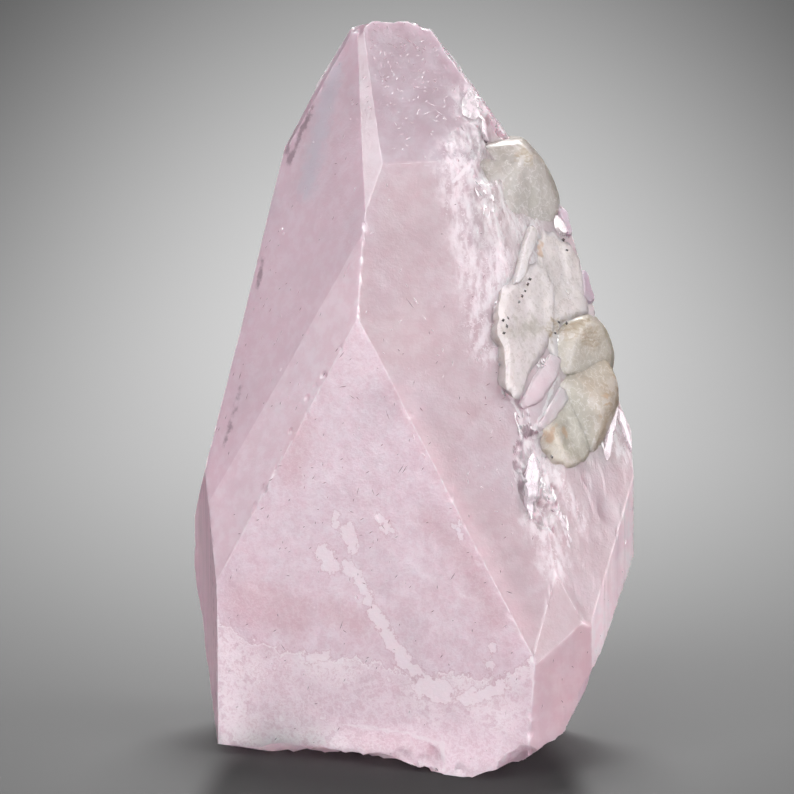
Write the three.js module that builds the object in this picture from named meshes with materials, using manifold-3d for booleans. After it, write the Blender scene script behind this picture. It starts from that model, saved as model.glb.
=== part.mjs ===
// A morganite crystal: pink beryl grown as one body, with grey-green quartz grown into
// its broken right flank. It stands on its foot, a flat break at z = 0.
// Millimetres, +Z up, the broad front face towards -Y.
import * as THREE from 'three';
import { mergeVertices } from 'three/addons/utils/BufferGeometryUtils.js';
import Module from 'manifold-3d';

// Every natural face and break is a plane, measured from the heart, a point inside.
// bearing: degrees round the upright axis from the front, plus to the right.
// rise: degrees that the face's outward normal tips up. reach: its distance in mm.
const HEART = new THREE.Vector3(0.7, -8, 40);
const FACES = {
  // the well-grown faces of the front
  front:          { bearing: -22, rise: 2, reach: 8.2 },
  band:           { bearing: -48.5, rise: 15.5, reach: 14 },
  shoulderLeft:   { bearing: -52.5, rise: 17.4, reach: 15.15 },
  shoulderRight:  { bearing: 9.5, rise: 18.5, reach: 9.7 },
  upperRight:     { bearing: 8.8, rise: 32.6, reach: 18.75 },
  ridge:          { bearing: -23.7, rise: 27.05, reach: 17.67 },
  // the left side
  leftPrism:      { bearing: -78, rise: 0, reach: 25.9 },
  leftSteep:      { bearing: -90, rise: 14, reach: 27 },
  leftTop:        { bearing: -84, rise: 28, reach: 32.6 },
  // the right side
  rightFront:     { bearing: 38, rise: -2, reach: 22.8 },
  rightPrism:     { bearing: 68, rise: 0, reach: 25 },
  rightShoulder:  { bearing: 30.5, rise: 10.4, reach: 16.7 },
  farRight:       { bearing: 95, rise: 0, reach: 29.6 },
  // breaks
  brokenFlank:    { bearing: 48, rise: 18.5, reach: 16.1 },
  rightHigh:      { bearing: 88, rise: 37, reach: 35 },
  // the worn tip
  tip:            { bearing: 180, rise: 80, reach: 58.9 },
  tipLeft:        { bearing: -70, rise: 60, reach: 50.1 },
  tipRight:       { bearing: 75, rise: 72, reach: 53 },
  // the back
  back:           { bearing: 158, rise: 3, reach: 21 },
  backLeft:       { bearing: -142, rise: 5, reach: 32.6 },
  backSlope:      { bearing: 172, rise: 17, reach: 32 },
  backLeftSlope:  { bearing: -128, rise: 20, reach: 38.5 },
  backRight:      { bearing: 122, rise: 10, reach: 29 },
  // undercuts round the broken foot
  underRight:     { bearing: 88, rise: -22, reach: 32 },
  heel:           { bearing: 80, rise: -26, reach: 33.8 },
  toe:            { bearing: 70, rise: -54, reach: 40.8 },
  sole:           { bearing: 57, rise: -65.3, reach: 42 },
  underLeft:      { bearing: -105, rise: -22.5, reach: 38.9 },
  underFront:     { bearing: -32, rise: -74.3, reach: 40.8 },
  foot:           { bearing: 0, rise: -90, reach: 40 },
};

// Shell-shaped breaks. at: a point on the face they start from; facing: the way the
// hollow opens; radius: of its curve; depth: how far it bites in.
const SCOOPS = {
  flankHollow: { at: [14.1, -17.6, 41.6], bearing: 40, rise: 14, radius: 26, depth: 1.9 },
  neckNotch:   { at: [11.3, -0.5, 81.5], bearing: 80, rise: 25, radius: 5, depth: 1.6 },
  tipChip:     { at: [4.6, 1.5, 95.6], bearing: 50, rise: 50, radius: 6, depth: 0.9 },
  footChip:    { at: [5.7, -21.4, 1.5], bearing: -22, rise: -15, radius: 7, depth: 1 },
  underHollow: { at: [-8.1, -14.8, 0.6], bearing: -32, rise: -76, radius: 55, depth: 1.7 },
};

// Quartz in the broken flank: two blocky lumps, the lower one in two, and a thin plate,
// the lens. middle: the point that its faces are measured from. Each face is its bearing,
// its rise and its reach, as above; the last few close the back, inside the beryl.
const QUARTZ = {
  upper: {
    middle: [15.3, 2.2, 75.6],
    faces: [
      [-50, 84, 6.3], [81, 42, 3.8], [80, 21, 3.3], [79, 6, 4], [45, 10, 1.7],
      [25, 18, 3.1], [20, 30, 3.4], [44, 14, 3], [28, 46, 4.4], [-75, 0, 7.5],
      [0, -75, 9], [150, 20, 5.5], [-150, -10, 5.5], [100, -40, 6],
    ],
  },
  lowerTop: {
    middle: [23.2, 0.5, 55],
    faces: [
      [-61, 82, 3.5], [81, 46, 2.9], [80, 19, 2.9], [75, -16, 4.2], [26, -68, 5.5],
      [26, 18, 3.3], [30, 40, 2.8], [48, 10, 1.8], [-78, 3, 6], [34, 24, 2.8],
      [160, 10, 5], [-140, 0, 5],
    ],
  },
  lower: {
    middle: [23, -2.5, 46.5],
    faces: [
      [-48, 84, 6], [-76, 72, 6], [80, 25, 5.4], [78, -1, 4.4], [75, -16, 4.4],
      [74, -20, 4.5], [47, -61, 7.3], [-73, -22, 7.5], [-79, 8, 7], [26, 12, 3.5],
      [40, 32, 3.2], [52, 22, 3.6], [47, 6, 3.5], [160, 5, 5], [-140, 0, 5],
    ],
  },
  lens: {
    middle: [14.4, -7.7, 57.7],
    faces: [
      [48, 18.5, 1.3], [-80, 61, 6.3], [-144, 71, 8.7], [141, 9, 8.3], [132, -18, 5.9],
      [116, -48, 4.5], [-17, -52, 10.6], [-44, 6, 5.8], [-52, 27, 4.9], [-132, -18.5, 2],
    ],
  },
};

const BLOCK = 140;            // side of the rough block that faces are cut from
const SLAB = 400;             // side of each slab cut from it
const SCOOP_DETAIL = 9;       // triangles round the hollows
const MORGANITE = new THREE.MeshStandardMaterial({
  name: 'morganite', color: 0xdcc6ce, roughness: 0.3, metalness: 0,
});

const wasm = await Module();
wasm.setup();

/** A closed three.js geometry, placed by a matrix, as a solid to cut and join. */
function solid(geometry, matrix) {
  const shape = geometry.clone().applyMatrix4(matrix);
  shape.deleteAttribute('normal');
  shape.deleteAttribute('uv');
  const closed = mergeVertices(shape, 1e-5);
  return new wasm.Manifold(new wasm.Mesh({
    numProp: 3,
    vertProperties: new Float32Array(closed.attributes.position.array),
    triVerts: new Uint32Array(closed.index.array),
  }));
}

/** The unit vector at a bearing and rise. */
function outward({ bearing, rise }) {
  const b = THREE.MathUtils.degToRad(bearing);
  const r = THREE.MathUtils.degToRad(rise);
  return new THREE.Vector3(Math.sin(b) * Math.cos(r), -Math.cos(b) * Math.cos(r), Math.sin(r));
}

/** The slab outside one face, which is cut away. */
function slabOutside(middle, face) {
  const normal = outward(face);
  const turn = new THREE.Quaternion().setFromUnitVectors(new THREE.Vector3(0, 0, 1), normal);
  const centre = normal.clone().multiplyScalar(face.reach + SLAB / 2).add(middle);
  const place = new THREE.Matrix4().compose(centre, turn, new THREE.Vector3(1, 1, 1));
  return solid(new THREE.BoxGeometry(SLAB, SLAB, SLAB), place);
}

/** A rough block cut back to every face round its middle. */
function cutBlock(middle, faces) {
  const rough = new THREE.BoxGeometry(BLOCK, BLOCK, BLOCK);
  let block = solid(rough, new THREE.Matrix4().makeTranslation(middle));
  for (const face of faces) block = block.subtract(slabOutside(middle, face));
  return block;
}

/** The ball whose underside is the hollow of a shell-shaped break. */
function scoop({ at, radius, depth, ...facing }) {
  const centre = outward(facing).multiplyScalar(radius - depth).add(new THREE.Vector3(...at));
  const place = new THREE.Matrix4().makeTranslation(centre);
  return solid(new THREE.IcosahedronGeometry(radius, SCOOP_DETAIL), place);
}

/** The mesh of a finished solid. */
function meshOf(body, name, material) {
  const { vertProperties, triVerts } = body.getMesh();
  const geometry = new THREE.BufferGeometry();
  geometry.setAttribute('position', new THREE.BufferAttribute(vertProperties, 3));
  geometry.setIndex(new THREE.BufferAttribute(triVerts, 1));
  geometry.computeVertexNormals();
  const mesh = new THREE.Mesh(geometry, material);
  mesh.name = name;
  return mesh;
}

// the beryl: a block cut back to every face, then chipped
let crystal = cutBlock(HEART, Object.values(FACES));
for (const hollow of Object.values(SCOOPS)) crystal = crystal.subtract(scoop(hollow));

// the quartz, grown into it: one solid with the beryl
for (const { middle, faces } of Object.values(QUARTZ)) {
  const cuts = faces.map(([bearing, rise, reach]) => ({ bearing, rise, reach }));
  crystal = crystal.add(cutBlock(new THREE.Vector3(...middle), cuts));
}

const part = new THREE.Group();
part.add(meshOf(crystal, 'morganite_crystal', MORGANITE));
export default part;
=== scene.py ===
from itertools import combinations, product

import bpy
import numpy as np
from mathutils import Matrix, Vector


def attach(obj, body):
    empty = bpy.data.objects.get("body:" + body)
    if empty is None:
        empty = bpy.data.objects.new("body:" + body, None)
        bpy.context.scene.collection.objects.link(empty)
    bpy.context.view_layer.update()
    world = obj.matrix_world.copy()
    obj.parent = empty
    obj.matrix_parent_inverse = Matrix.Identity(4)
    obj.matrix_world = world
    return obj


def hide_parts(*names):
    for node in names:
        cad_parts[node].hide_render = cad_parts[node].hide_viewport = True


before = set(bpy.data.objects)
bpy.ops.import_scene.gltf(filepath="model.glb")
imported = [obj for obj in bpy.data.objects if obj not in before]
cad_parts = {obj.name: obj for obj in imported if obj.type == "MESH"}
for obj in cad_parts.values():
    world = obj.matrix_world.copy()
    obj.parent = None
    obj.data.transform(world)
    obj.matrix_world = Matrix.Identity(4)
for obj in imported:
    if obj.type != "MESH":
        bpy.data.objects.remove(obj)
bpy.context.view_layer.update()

MM = 0.001


# ---------------------------------------------------------------------------
# The pink beryl's block. One crystal: flat grown faces in front and behind, a
# broken flank on the right, a worn tip and a broken foot that it stands on. Its
# skin is worked out face by face from the planes that bound it.
# ---------------------------------------------------------------------------
HEART = np.array([0.7, -8.0, 40.0]) * MM

# bearing and rise of the outward normal in degrees, distance from the heart in mm
BERYL_FACES = {
    "front": (-22, 2, 8.2),
    "band": (-48.5, 15.5, 14),
    "shoulder_left": (-52.5, 17.4, 15.15),
    "shoulder_right": (9.5, 18.5, 9.7),
    "upper_right": (8.8, 32.6, 18.75),
    "ridge": (-23.7, 27.05, 17.67),
    "left_prism": (-78, 0, 25.9),
    "left_steep": (-90, 14, 27),
    "left_top": (-84, 28, 32.6),
    "right_front": (38, -2, 22.8),
    "right_prism": (68, 0, 25),
    "right_shoulder": (30.5, 10.4, 16.7),
    "far_right": (95, 0, 29.6),
    "broken_flank": (48, 18.5, 16.1),
    "right_high": (88, 37, 35),
    "tip": (180, 80, 58.9),
    "tip_left": (-70, 60, 50.1),
    "tip_right": (75, 72, 53),
    "back": (158, 3, 21),
    "back_left": (-142, 5, 32.6),
    "back_slope": (172, 17, 32),
    "back_left_slope": (-128, 20, 38.5),
    "back_right": (122, 10, 29),
    "under_right": (88, -22, 32),
    "heel": (80, -26, 33.8),
    "toe": (70, -54, 40.8),
    "sole": (57, -65.3, 42),
    "under_left": (-105, -22.5, 38.9),
    "under_front": (-32, -74.3, 40.8),
    "foot": (0, -90, 40),
}
FACE_NAMES = list(BERYL_FACES)
BACK_FACES = {"back", "back_left", "back_slope", "back_left_slope", "back_right",
              "under_right", "heel", "under_left", "far_right", "left_steep", "left_prism"}
HIDDEN_FACES = {"foot", "under_front", "sole", "toe"}
FINE_CELL = 0.45 * MM
BACK_CELL = 0.85 * MM
HIDDEN_CELL = 1.2 * MM
SHARP_BEND = 15               # degrees: a gentler bend between two faces chips no edge
FULL_WEAR_BEND = 55           # degrees: a gentler bend wears a thinner line
SOFT_FACES = {"ridge"}        # their edges are hardly worn
MOST_THINNING = 8
LEAST_TURN = 1e-6             # planes whose normals' determinant is less share no point
HAIR = 1e-9                   # metres: a corner this little outside a plane is on it
SAME_CORNER = 0.001 * MM      # closer corners are one corner
SAME_EDGE = 0.01 * MM         # edges whose middles agree this closely are one edge
SAME_POINT = 0.002 * MM       # skin points that agree this closely are merged


def outward(bearing, rise):
    """The unit vector at a bearing round the upright axis and a rise above level."""
    b, r = np.radians(bearing), np.radians(rise)
    return np.stack([np.sin(b) * np.cos(r), -np.cos(b) * np.cos(r), np.sin(r)], -1)


def facing_of(face):
    """The unit vector out of one of the beryl's faces."""
    return outward(*BERYL_FACES[face][:2])


def corners_of(faces, heart):
    """Each face's corners in order round it: three planes at a time are solved for
    the point n . p = reach that they share, and a point inside all the other planes is
    a corner."""
    table = np.array(list(faces.values()), float)
    normals = outward(table[:, 0], table[:, 1])
    reach = table[:, 2] * MM
    trios = np.array(list(combinations(range(len(table)), 3)))
    planes = normals[trios]
    solvable = np.abs(np.linalg.det(planes)) > LEAST_TURN
    trios, planes = trios[solvable], planes[solvable]
    points = np.linalg.solve(planes, reach[trios][..., None])[..., 0]
    inside = (points @ normals.T <= reach + HAIR).all(1)
    trios, points = trios[inside], points[inside]
    rings = {}
    for i, name in enumerate(faces):
        own = points[(trios == i).any(1)]
        side = np.cross(normals[i], [0, 0, 1] if abs(normals[i][2]) < 0.9 else [0, 1, 0])
        side /= np.linalg.norm(side)
        up = np.cross(normals[i], side)
        spread = own - own.mean(0)
        own = own[np.argsort(np.arctan2(spread @ up, spread @ side))]
        apart = np.linalg.norm(own - np.roll(own, 1, 0), axis=1) > SAME_CORNER
        rings[name] = own[apart] + heart
    return rings


def edge_key(a, b):
    """One name for the edge between two corners, whichever way round it is walked."""
    return tuple(np.round((a + b) * 0.5 / SAME_EDGE).astype(int))


def edges_of(rings, cells):
    """Every edge once: its two ends, its length, the unit vector out between its two
    faces, how many degrees it bends, how much thinner than a sharp edge's its wear is,
    and how many steps it is cut into, in fours, by the finer cell of its two faces."""
    edges = {}
    for name, ring in rings.items():
        normal = facing_of(name)
        for a, b in zip(ring, np.roll(ring, -1, 0)):
            edge = edges.setdefault(edge_key(a, b), {
                "ends": (a, b), "normals": [], "cell": 1, "soft": False})
            edge["normals"].append(normal)
            edge["soft"] |= name in SOFT_FACES
            edge["cell"] = min(edge["cell"], cells[name])
    for edge in edges.values():
        a, b = edge["ends"]
        one, other = edge["normals"]
        edge["out"] = (one + other) / np.linalg.norm(one + other)
        edge["bend"] = np.degrees(np.arccos(np.clip(one @ other, -1, 1)))
        thinning = np.clip(FULL_WEAR_BEND / edge["bend"], 1, MOST_THINNING)
        edge["thinning"] = thinning * (3 if edge["soft"] else 1)
        edge["length"] = np.linalg.norm(b - a)
        edge["steps"] = 4 * max(1, int(np.ceil(edge["length"] / edge["cell"] / 4)))
    return edges


def sides(*corners):
    """Triangles or quads from lists of their first, second and later corners. A corner
    on its own is shared by them all."""
    return np.stack(np.broadcast_arrays(*corners), 1)


def face_skin(ring, edges, cell):
    """A flat face as rings that shrink from its edges to its middle: point (u, v) is
    the middle plus u times the way to the edge point v. Inner rings keep every second,
    then every fourth point. Returns points, triangles, and each point's distance from
    the nearest edge, as it is and grown where the edge is blunt and little worn."""
    corners = list(zip(ring, np.roll(ring, -1, 0)))
    rim = []
    for a, b in corners:
        count = edges[edge_key(a, b)]["steps"]
        low, high = (a, b) if tuple(a) < tuple(b) else (b, a)
        share = np.arange(count)[:, None] / count
        share = share if low is a else 1 - share
        rim.append(low + (high - low) * share)
    rim = np.concatenate(rim)
    middle = rim.mean(0)
    rings_in = max(2, int(np.ceil(np.linalg.norm(rim - middle, axis=1).mean() / cell)))
    points, triangles, start, before = [], [], 0, None
    for k in range(rings_in):
        u = 1 - k / rings_in
        stride = 1 if u > 0.5 else 2 if u > 0.25 else 4
        here = middle + u * (rim[::stride] - middle)
        n = len(here)
        i = np.arange(n)
        j = (i + 1) % n
        if before is not None:
            first, m = before
            if m == n:
                triangles += [sides(first + i, first + j, start + j),
                              sides(first + i, start + j, start + i)]
            else:
                a, b, c = first + 2 * i, first + 2 * i + 1, first + (2 * i + 2) % m
                triangles += [sides(a, b, start + i), sides(b, start + j, start + i),
                              sides(b, c, start + j)]
        points.append(here)
        before, start = (start, n), start + n
    first, n = before
    i = np.arange(n)
    triangles.append(sides(first + i, first + (i + 1) % n, start))
    points.append(middle[None])
    points = np.concatenate(points)
    along = np.roll(ring, -1, 0) - ring
    inward = np.cross(np.cross(along[0], along[1]), along)
    inward /= np.linalg.norm(inward, axis=1)[:, None]
    distance = np.maximum(((points[:, None] - ring[None]) * inward[None]).sum(-1), 0)
    thinning = np.array([edges[edge_key(a, b)]["thinning"] for a, b in corners])
    return points, np.concatenate(triangles), distance.min(1), (distance * thinning).min(1)


def solid_skin(rings, edges, cells):
    """All the faces of a block joined into one closed skin: points are merged where
    their rounded places agree. Returns points, triangles, each triangle's face number
    and each point's face number, edge distance and wear distance."""
    points, triangles, near, worn, owner, of_point, start = [], [], [], [], [], [], 0
    for number, (name, ring) in enumerate(rings.items()):
        p, t, d, w = face_skin(ring, edges, cells[name])
        points.append(p)
        triangles.append(t + start)
        near.append(d)
        worn.append(w)
        owner.append(np.full(len(t), number))
        of_point.append(np.full(len(p), number))
        start += len(p)
    points = np.concatenate(points)
    key = np.round(points / SAME_POINT).astype(np.int64)
    _, keep, same = np.unique(key, axis=0, return_index=True, return_inverse=True)
    triangles = same.reshape(-1)[np.concatenate(triangles)]
    near, worn, of_point = (np.concatenate(values)[keep] for values in (near, worn, of_point))
    return points[keep], triangles, np.concatenate(owner), of_point, near, worn


rings = corners_of(BERYL_FACES, HEART)
cells = {name: HIDDEN_CELL if name in HIDDEN_FACES else BACK_CELL if name in BACK_FACES
         else FINE_CELL for name in FACE_NAMES}
edges = edges_of(rings, cells)
points, triangles, owner, of_point, near, wear_distance = solid_skin(rings, edges, cells)


# ---------------------------------------------------------------------------
# The beryl's breaks and wear. Shell-shaped hollows where pieces flew off, a hackly
# broken flank and foot, upright growth lines on the side faces, low etched plates in
# front, chipped edges and a slow swell over every face. Each moves the skin's points.
# ---------------------------------------------------------------------------
# the middle of each hollow's mouth, the bearing and rise it opens to, its radius and
# its depth, in millimetres
HOLLOWS = {
    "flank": ((14.1, -17.6, 41.6), (40, 14), 26, 1.9),
    "neck": ((11.3, -0.5, 81.5), (80, 25), 5, 1.6),
    "tip": ((4.6, 1.5, 95.6), (50, 50), 6, 0.9),
    "toe": ((5.7, -21.4, 1.5), (-22, -15), 7, 1),
    "under": ((-8.1, -14.8, 0.6), (-32, -76), 55, 1.7),
    # the shell beside the neck, the ledge above the toe, and the worn tip
    "shell": ((6.6, -2.6, 81.7), (22, 22), 9, 0.7),
    "shell_rim": ((9.6, -2.8, 79.1), (40, 20), 5, 0.8),
    "ledge": ((2.6, -19.2, 2.2), (-22, -6), 5, 0.7),
    "ledge_left": ((-1.2, -17.6, 1.6), (-22, -12), 6, 0.6),
    "heel_nick": ((13.6, -22.6, 2.2), (12, -25), 5, 0.9),
    "apex_left": ((-6.0, 2.1, 94.3), (-30, 50), 4, 0.5),
    "apex_right": ((1.2, 4.7, 96.6), (10, 60), 5, 0.6),
    "apex_edge": ((5.9, 2.4, 93.0), (60, 25), 4, 0.5),
}
# chips along the upright ridge and down the front's left edge: where, and how big
RIDGE_CHIPS = (
    ((-5.9, -9.2, 73.8), 0.8), ((-6.0, -9.6, 72.0), 1.0), ((-5.7, -9.9, 70.2), 0.7),
    ((-5.6, -10.7, 69.0), 0.9), ((-6.0, -11.3, 66.6), 0.7), ((-8.5, -8.9, 65.5), 0.7),
    ((-6.2, -12.3, 63.3), 0.8), ((-6.6, -12.8, 61.0), 0.6), ((-7.0, -13.0, 59.6), 0.8),
    ((-9.4, -12.0, 55.7), 0.6), ((-12.0, -10.8, 51.8), 0.9), ((-12.9, -10.4, 50.4), 0.8),
    ((-14.0, -9.8, 48.6), 0.9), ((-16.1, -9.2, 44.0), 0.6), ((-19.6, -8.3, 36.4), 0.6),
)
# for each broken face: how many small hollows, the biggest radius and the deepest bite,
# in mm
BROKEN_FACES = {
    "broken_flank": (14, 9, 0.16), "right_high": (16, 8, 0.25),
    "tip": (14, 3, 0.25), "tip_left": (6, 3, 0.25), "tip_right": (8, 3, 0.25),
    "back_slope": (26, 9, 0.7), "back_right": (14, 8, 0.6), "under_right": (18, 9, 0.7),
    "under_left": (26, 9, 0.7), "under_front": (12, 7, 0.2), "heel": (10, 7, 0.5),
    "toe": (16, 7, 0.5), "sole": (14, 7, 0.5),
}
STRIATED_FACES = {"left_prism", "right_prism", "right_front", "back", "back_left", "far_right"}
SWELLS = ((16 * MM, 0.16 * MM), (4 * MM, 0.05 * MM))     # cell and height
GROWTH_LINE_CELL = 1.6 * MM
GROWTH_LINE_HEIGHT = 0.1 * MM
GROWTH_LINE_FADE = 0.8 * MM                              # at a face's edges
GROWTH_LINE_SQUASH = (1, 1, 0.035)                       # draws the noise out upwards
ETCHED_PLATE_CELL = 5 * MM
ETCHED_PLATE_HEIGHT = 0.05 * MM
ETCHED_PLATE_SLOPE = 4
ETCHED_PLATE_FADE = MM
TERRACE_ACROSS = (0.85, 0, 0.5)
TERRACE_WIDTH = 3.4 * MM
TERRACE_HEIGHT = 0.08 * MM
TERRACE_WANDER = 1.8 * MM
TERRACE_WANDER_CELL = 7 * MM
TERRACE_FADE = 1.5 * MM
HACKLE_SQUASH = (1.6, 1, 0.5)
HACKLE_CELL = 4 * MM
HACKLE_HEIGHT = 0.06 * MM
BITE_GRAIN = 0.9 * MM
BITE_ROUGHNESS = 0.35         # height of the grain in a hollow, by the hollow's depth
SMALLEST_BITE = 0.25          # by the biggest one on the same face
RIDGE_CHIP_FACING = (-18, 14)
RIDGE_CHIP_DEPTH = 0.2 * MM
CHIP_SPACING = 2.6 * MM       # along a sharp edge
CHIP_RADII = (0.5, 1.8)       # least and most, in mm
CHIP_DEPTHS = (0.03, 0.16)
FULL_CHIP_BEND = 40           # degrees
DEEPEST_CHIP = 1.5            # by one on an edge of the full bend


# big odd numbers that scatter a lattice corner's place into a value
SCATTER = (73856093, 19349663, 83492791)
SEED_SCATTER = 2654435761
LAST_SCATTER = 1274126177


def lattice_noise(points, cell, seed):
    """Smooth noise from -1 to 1: random values at the corners of a lattice of cubes,
    blended across each cube by 3t^2 - 2t^3."""
    scaled = points / cell
    base = np.floor(scaled).astype(np.int64)
    part = scaled - base
    part = part * part * (3 - 2 * part)
    total = np.zeros(len(points))
    for corner in product((0, 1), repeat=3):
        whole = base + np.array(corner)
        mixed = (whole * SCATTER).sum(1) ^ (seed * SEED_SCATTER)
        mixed = (mixed ^ (mixed >> 15)) * LAST_SCATTER
        value = ((mixed ^ (mixed >> 13)) & 0xFFFF) / 32767.5 - 1
        total += value * np.where(corner, part, 1 - part).prod(1)
    return total


def layered_noise(points, cell, layers, seed):
    """Lattice noise summed in layers, each with half the cell and half the height."""
    return sum(lattice_noise(points, cell / 2 ** k, seed + k) / 2 ** k for k in range(layers))


def bite(points, place, facing, radius, depth):
    """Pushes every point inside a ball out to its surface, along its own line from the
    ball's middle: the hollow that the ball would leave. The ball's radius is roughened
    by a noise as high as a share of the depth."""
    centre = place + facing * (radius - depth)
    away = points - centre
    distance = np.linalg.norm(away, axis=1)
    inside = np.flatnonzero(distance < radius)
    away, distance = away[inside], distance[inside]
    grain = lattice_noise(points[inside], BITE_GRAIN, seed=5)
    ball = radius + BITE_ROUGHNESS * depth * grain
    points[inside] = centre + away * (np.maximum(ball, distance) / distance)[:, None]


def on_faces(numbers, names):
    """True for every face number that is one of the named faces'."""
    return np.isin(numbers, [FACE_NAMES.index(name) for name in names])


def thrown(rng, facing, spread):
    """A facing turned a little at random: the unit vector of itself plus a bell-curve
    throw of some spread in x, y and z."""
    facing = facing + rng.normal(0, spread, 3)
    return facing / np.linalg.norm(facing)


rng = np.random.default_rng(7)
normals = np.array([facing_of(name) for name in FACE_NAMES])
whole_skin = points.copy()


def relief_on(names, height, fade):
    """How far each point of the skin moves for a relief that stands out of some faces
    by a height, and fades out over a width at each face's edges."""
    height = height * (on_faces(of_point, names) * np.clip(near / fade, 0, 1))
    return normals[of_point] * height[:, None]


# the slow swell of the whole crystal, which bends its edges a little
for cell, height in SWELLS:
    points += height * np.stack([lattice_noise(whole_skin, cell, seed) for seed in (1, 2, 3)], 1)

# upright growth lines on the prism faces: noise drawn out along the crystal
drawn_out = whole_skin * GROWTH_LINE_SQUASH
lines = layered_noise(drawn_out, GROWTH_LINE_CELL, layers=3, seed=11) * GROWTH_LINE_HEIGHT
points += relief_on(STRIATED_FACES, lines, GROWTH_LINE_FADE)

# the front's etched skin: low plates with soft edges
plates = layered_noise(whole_skin, ETCHED_PLATE_CELL, layers=3, seed=21)
plates = np.tanh(ETCHED_PLATE_SLOPE * plates) * ETCHED_PLATE_HEIGHT
points += relief_on(["front"], plates, ETCHED_PLATE_FADE)

# hackly relief on the breaks: slanting terraces that step down the flank to the left
across = whole_skin @ np.array(TERRACE_ACROSS)
wander = layered_noise(whole_skin, TERRACE_WANDER_CELL, layers=3, seed=31)
across = across + TERRACE_WANDER * wander
terraces = (across / TERRACE_WIDTH) % 1 * -TERRACE_HEIGHT
hackle = layered_noise(whole_skin * HACKLE_SQUASH, HACKLE_CELL, layers=3, seed=35)
terraces -= np.abs(hackle) * HACKLE_HEIGHT
points += relief_on(BROKEN_FACES, terraces, TERRACE_FADE)

# the big hollows, then many small ones over every break
for place, facing, radius, depth in HOLLOWS.values():
    bite(points, np.array(place) * MM, outward(*facing), radius * MM, depth * MM)
for name, (count, widest, deepest) in BROKEN_FACES.items():
    for at in rng.choice(np.flatnonzero(on_faces(of_point, [name])), count):
        radius = rng.uniform(SMALLEST_BITE, 1) * widest * MM
        depth = rng.uniform(SMALLEST_BITE, 1) * deepest * MM
        facing = thrown(rng, normals[of_point[at]], 0.1)
        bite(points, points[at].copy(), facing, radius, depth)

# chips out of the edges: a few set ones, and small ones wherever an edge is sharp
for place, size in RIDGE_CHIPS:
    facing = thrown(rng, outward(*RIDGE_CHIP_FACING), 0.25)
    bite(points, np.array(place) * MM, facing, size * MM, RIDGE_CHIP_DEPTH)
for edge in edges.values():
    if edge["bend"] < SHARP_BEND or edge["soft"]:
        continue
    a, b = edge["ends"]
    for _ in range(rng.poisson(edge["length"] / CHIP_SPACING)):
        radius = rng.uniform(*CHIP_RADII) * MM
        depth = rng.uniform(*CHIP_DEPTHS) * MM * min(DEEPEST_CHIP, edge["bend"] / FULL_CHIP_BEND)
        facing = thrown(rng, edge["out"], 0.2)
        bite(points, a + (b - a) * rng.uniform(), facing, radius, depth)

points[:, 2] = np.maximum(points[:, 2], 0)
chipped = np.linalg.norm(points - whole_skin, axis=1) / MM


# ---------------------------------------------------------------------------
# The beryl's finish: pale pink and clouded, each face a tone partly its own and partly
# painted light, softly etched in front and glassy where it is broken, with white healed
# cracks, dark etch dashes, and edges whitened by wear and a painted highlight.
# ---------------------------------------------------------------------------
# each face's colour, and how far it is frosted by etching: 0 is glassy, 1 is frosted.
# Each colour is partly the face's own tint and partly painted light, set to how bright
# the face looks: the downward under_front is painted lighter against its shade, and
# right_prism lighter as if lit from the right
FACE_TONES_AND_PAINTED_LIGHT = {
    "front": ((0.80, 0.675, 0.745), 0.8),
    "band": ((0.75, 0.615, 0.68), 0.55),
    "shoulder_left": ((0.64, 0.495, 0.565), 0.45),
    "shoulder_right": ((0.49, 0.37, 0.405), 0.25),
    "upper_right": ((0.40, 0.315, 0.36), 0.3),
    "ridge": ((0.39, 0.30, 0.34), 0.3),
    "left_prism": ((0.60, 0.40, 0.475), 0.5),
    "left_steep": ((0.60, 0.44, 0.51), 0.4),
    "left_top": ((0.60, 0.44, 0.52), 0.4),
    "right_front": ((0.64, 0.46, 0.50), 0.35),
    "right_prism": ((1.0, 0.83, 0.87), 0.45),
    "right_shoulder": ((0.395, 0.26, 0.29), 0.9),
    "broken_flank": ((0.435, 0.315, 0.345), 0.8),
    "right_high": ((0.66, 0.56, 0.60), 0.1),
    "under_front": ((0.95, 0.80, 0.86), 0.8),
    "tip": ((0.36, 0.28, 0.32), 0.4),
    "tip_left": ((0.36, 0.28, 0.32), 0.4),
    "tip_right": ((0.36, 0.28, 0.32), 0.4),
}
OTHER_TONE = ((0.66, 0.49, 0.56), 0.45)
PINK_CLOUD = (0.74, 0.56, 0.60)
GREY_CLOUD = (0.55, 0.47, 0.53)


def fed(tree, node, inputs):
    """A node with its inputs filled. Each is a value, or the socket that it takes."""
    for label, value in dict(inputs).items():
        if isinstance(value, bpy.types.NodeSocket):
            tree.links.new(value, node.inputs[label])
        else:
            node.inputs[label].default_value = value
    return node


def node_of(tree, kind, inputs=(), **settings):
    """A new shader node with its settings and its inputs."""
    node = tree.nodes.new("ShaderNode" + kind)
    for label, value in settings.items():
        setattr(node, label, value)
    return fed(tree, node, inputs)


def worked_out(tree, operation, *values):
    """One step of arithmetic on numbers or sockets."""
    return node_of(tree, "Math", enumerate(values), operation=operation).outputs[0]


def vector_of(tree, operation, *values, output="Vector"):
    """One step of arithmetic on vectors."""
    node = node_of(tree, "VectorMath", enumerate(values), operation=operation)
    return node.outputs[output]


def ramped(tree, value, low, high):
    """0 where a value is at low, 1 where it is at high, and a smooth curve between."""
    return node_of(tree, "MapRange", {"Value": value, "From Min": low, "From Max": high},
                   interpolation_type="SMOOTHSTEP").outputs["Result"]


def over(tree, mask, below, above):
    """One colour laid over another where the mask is 1."""
    below, above = (colour if isinstance(colour, bpy.types.NodeSocket) else (*colour, 1)
                    for colour in (below, above))
    return node_of(tree, "Mix", {0: mask, 6: below, 7: above}, data_type="RGBA").outputs[2]


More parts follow.
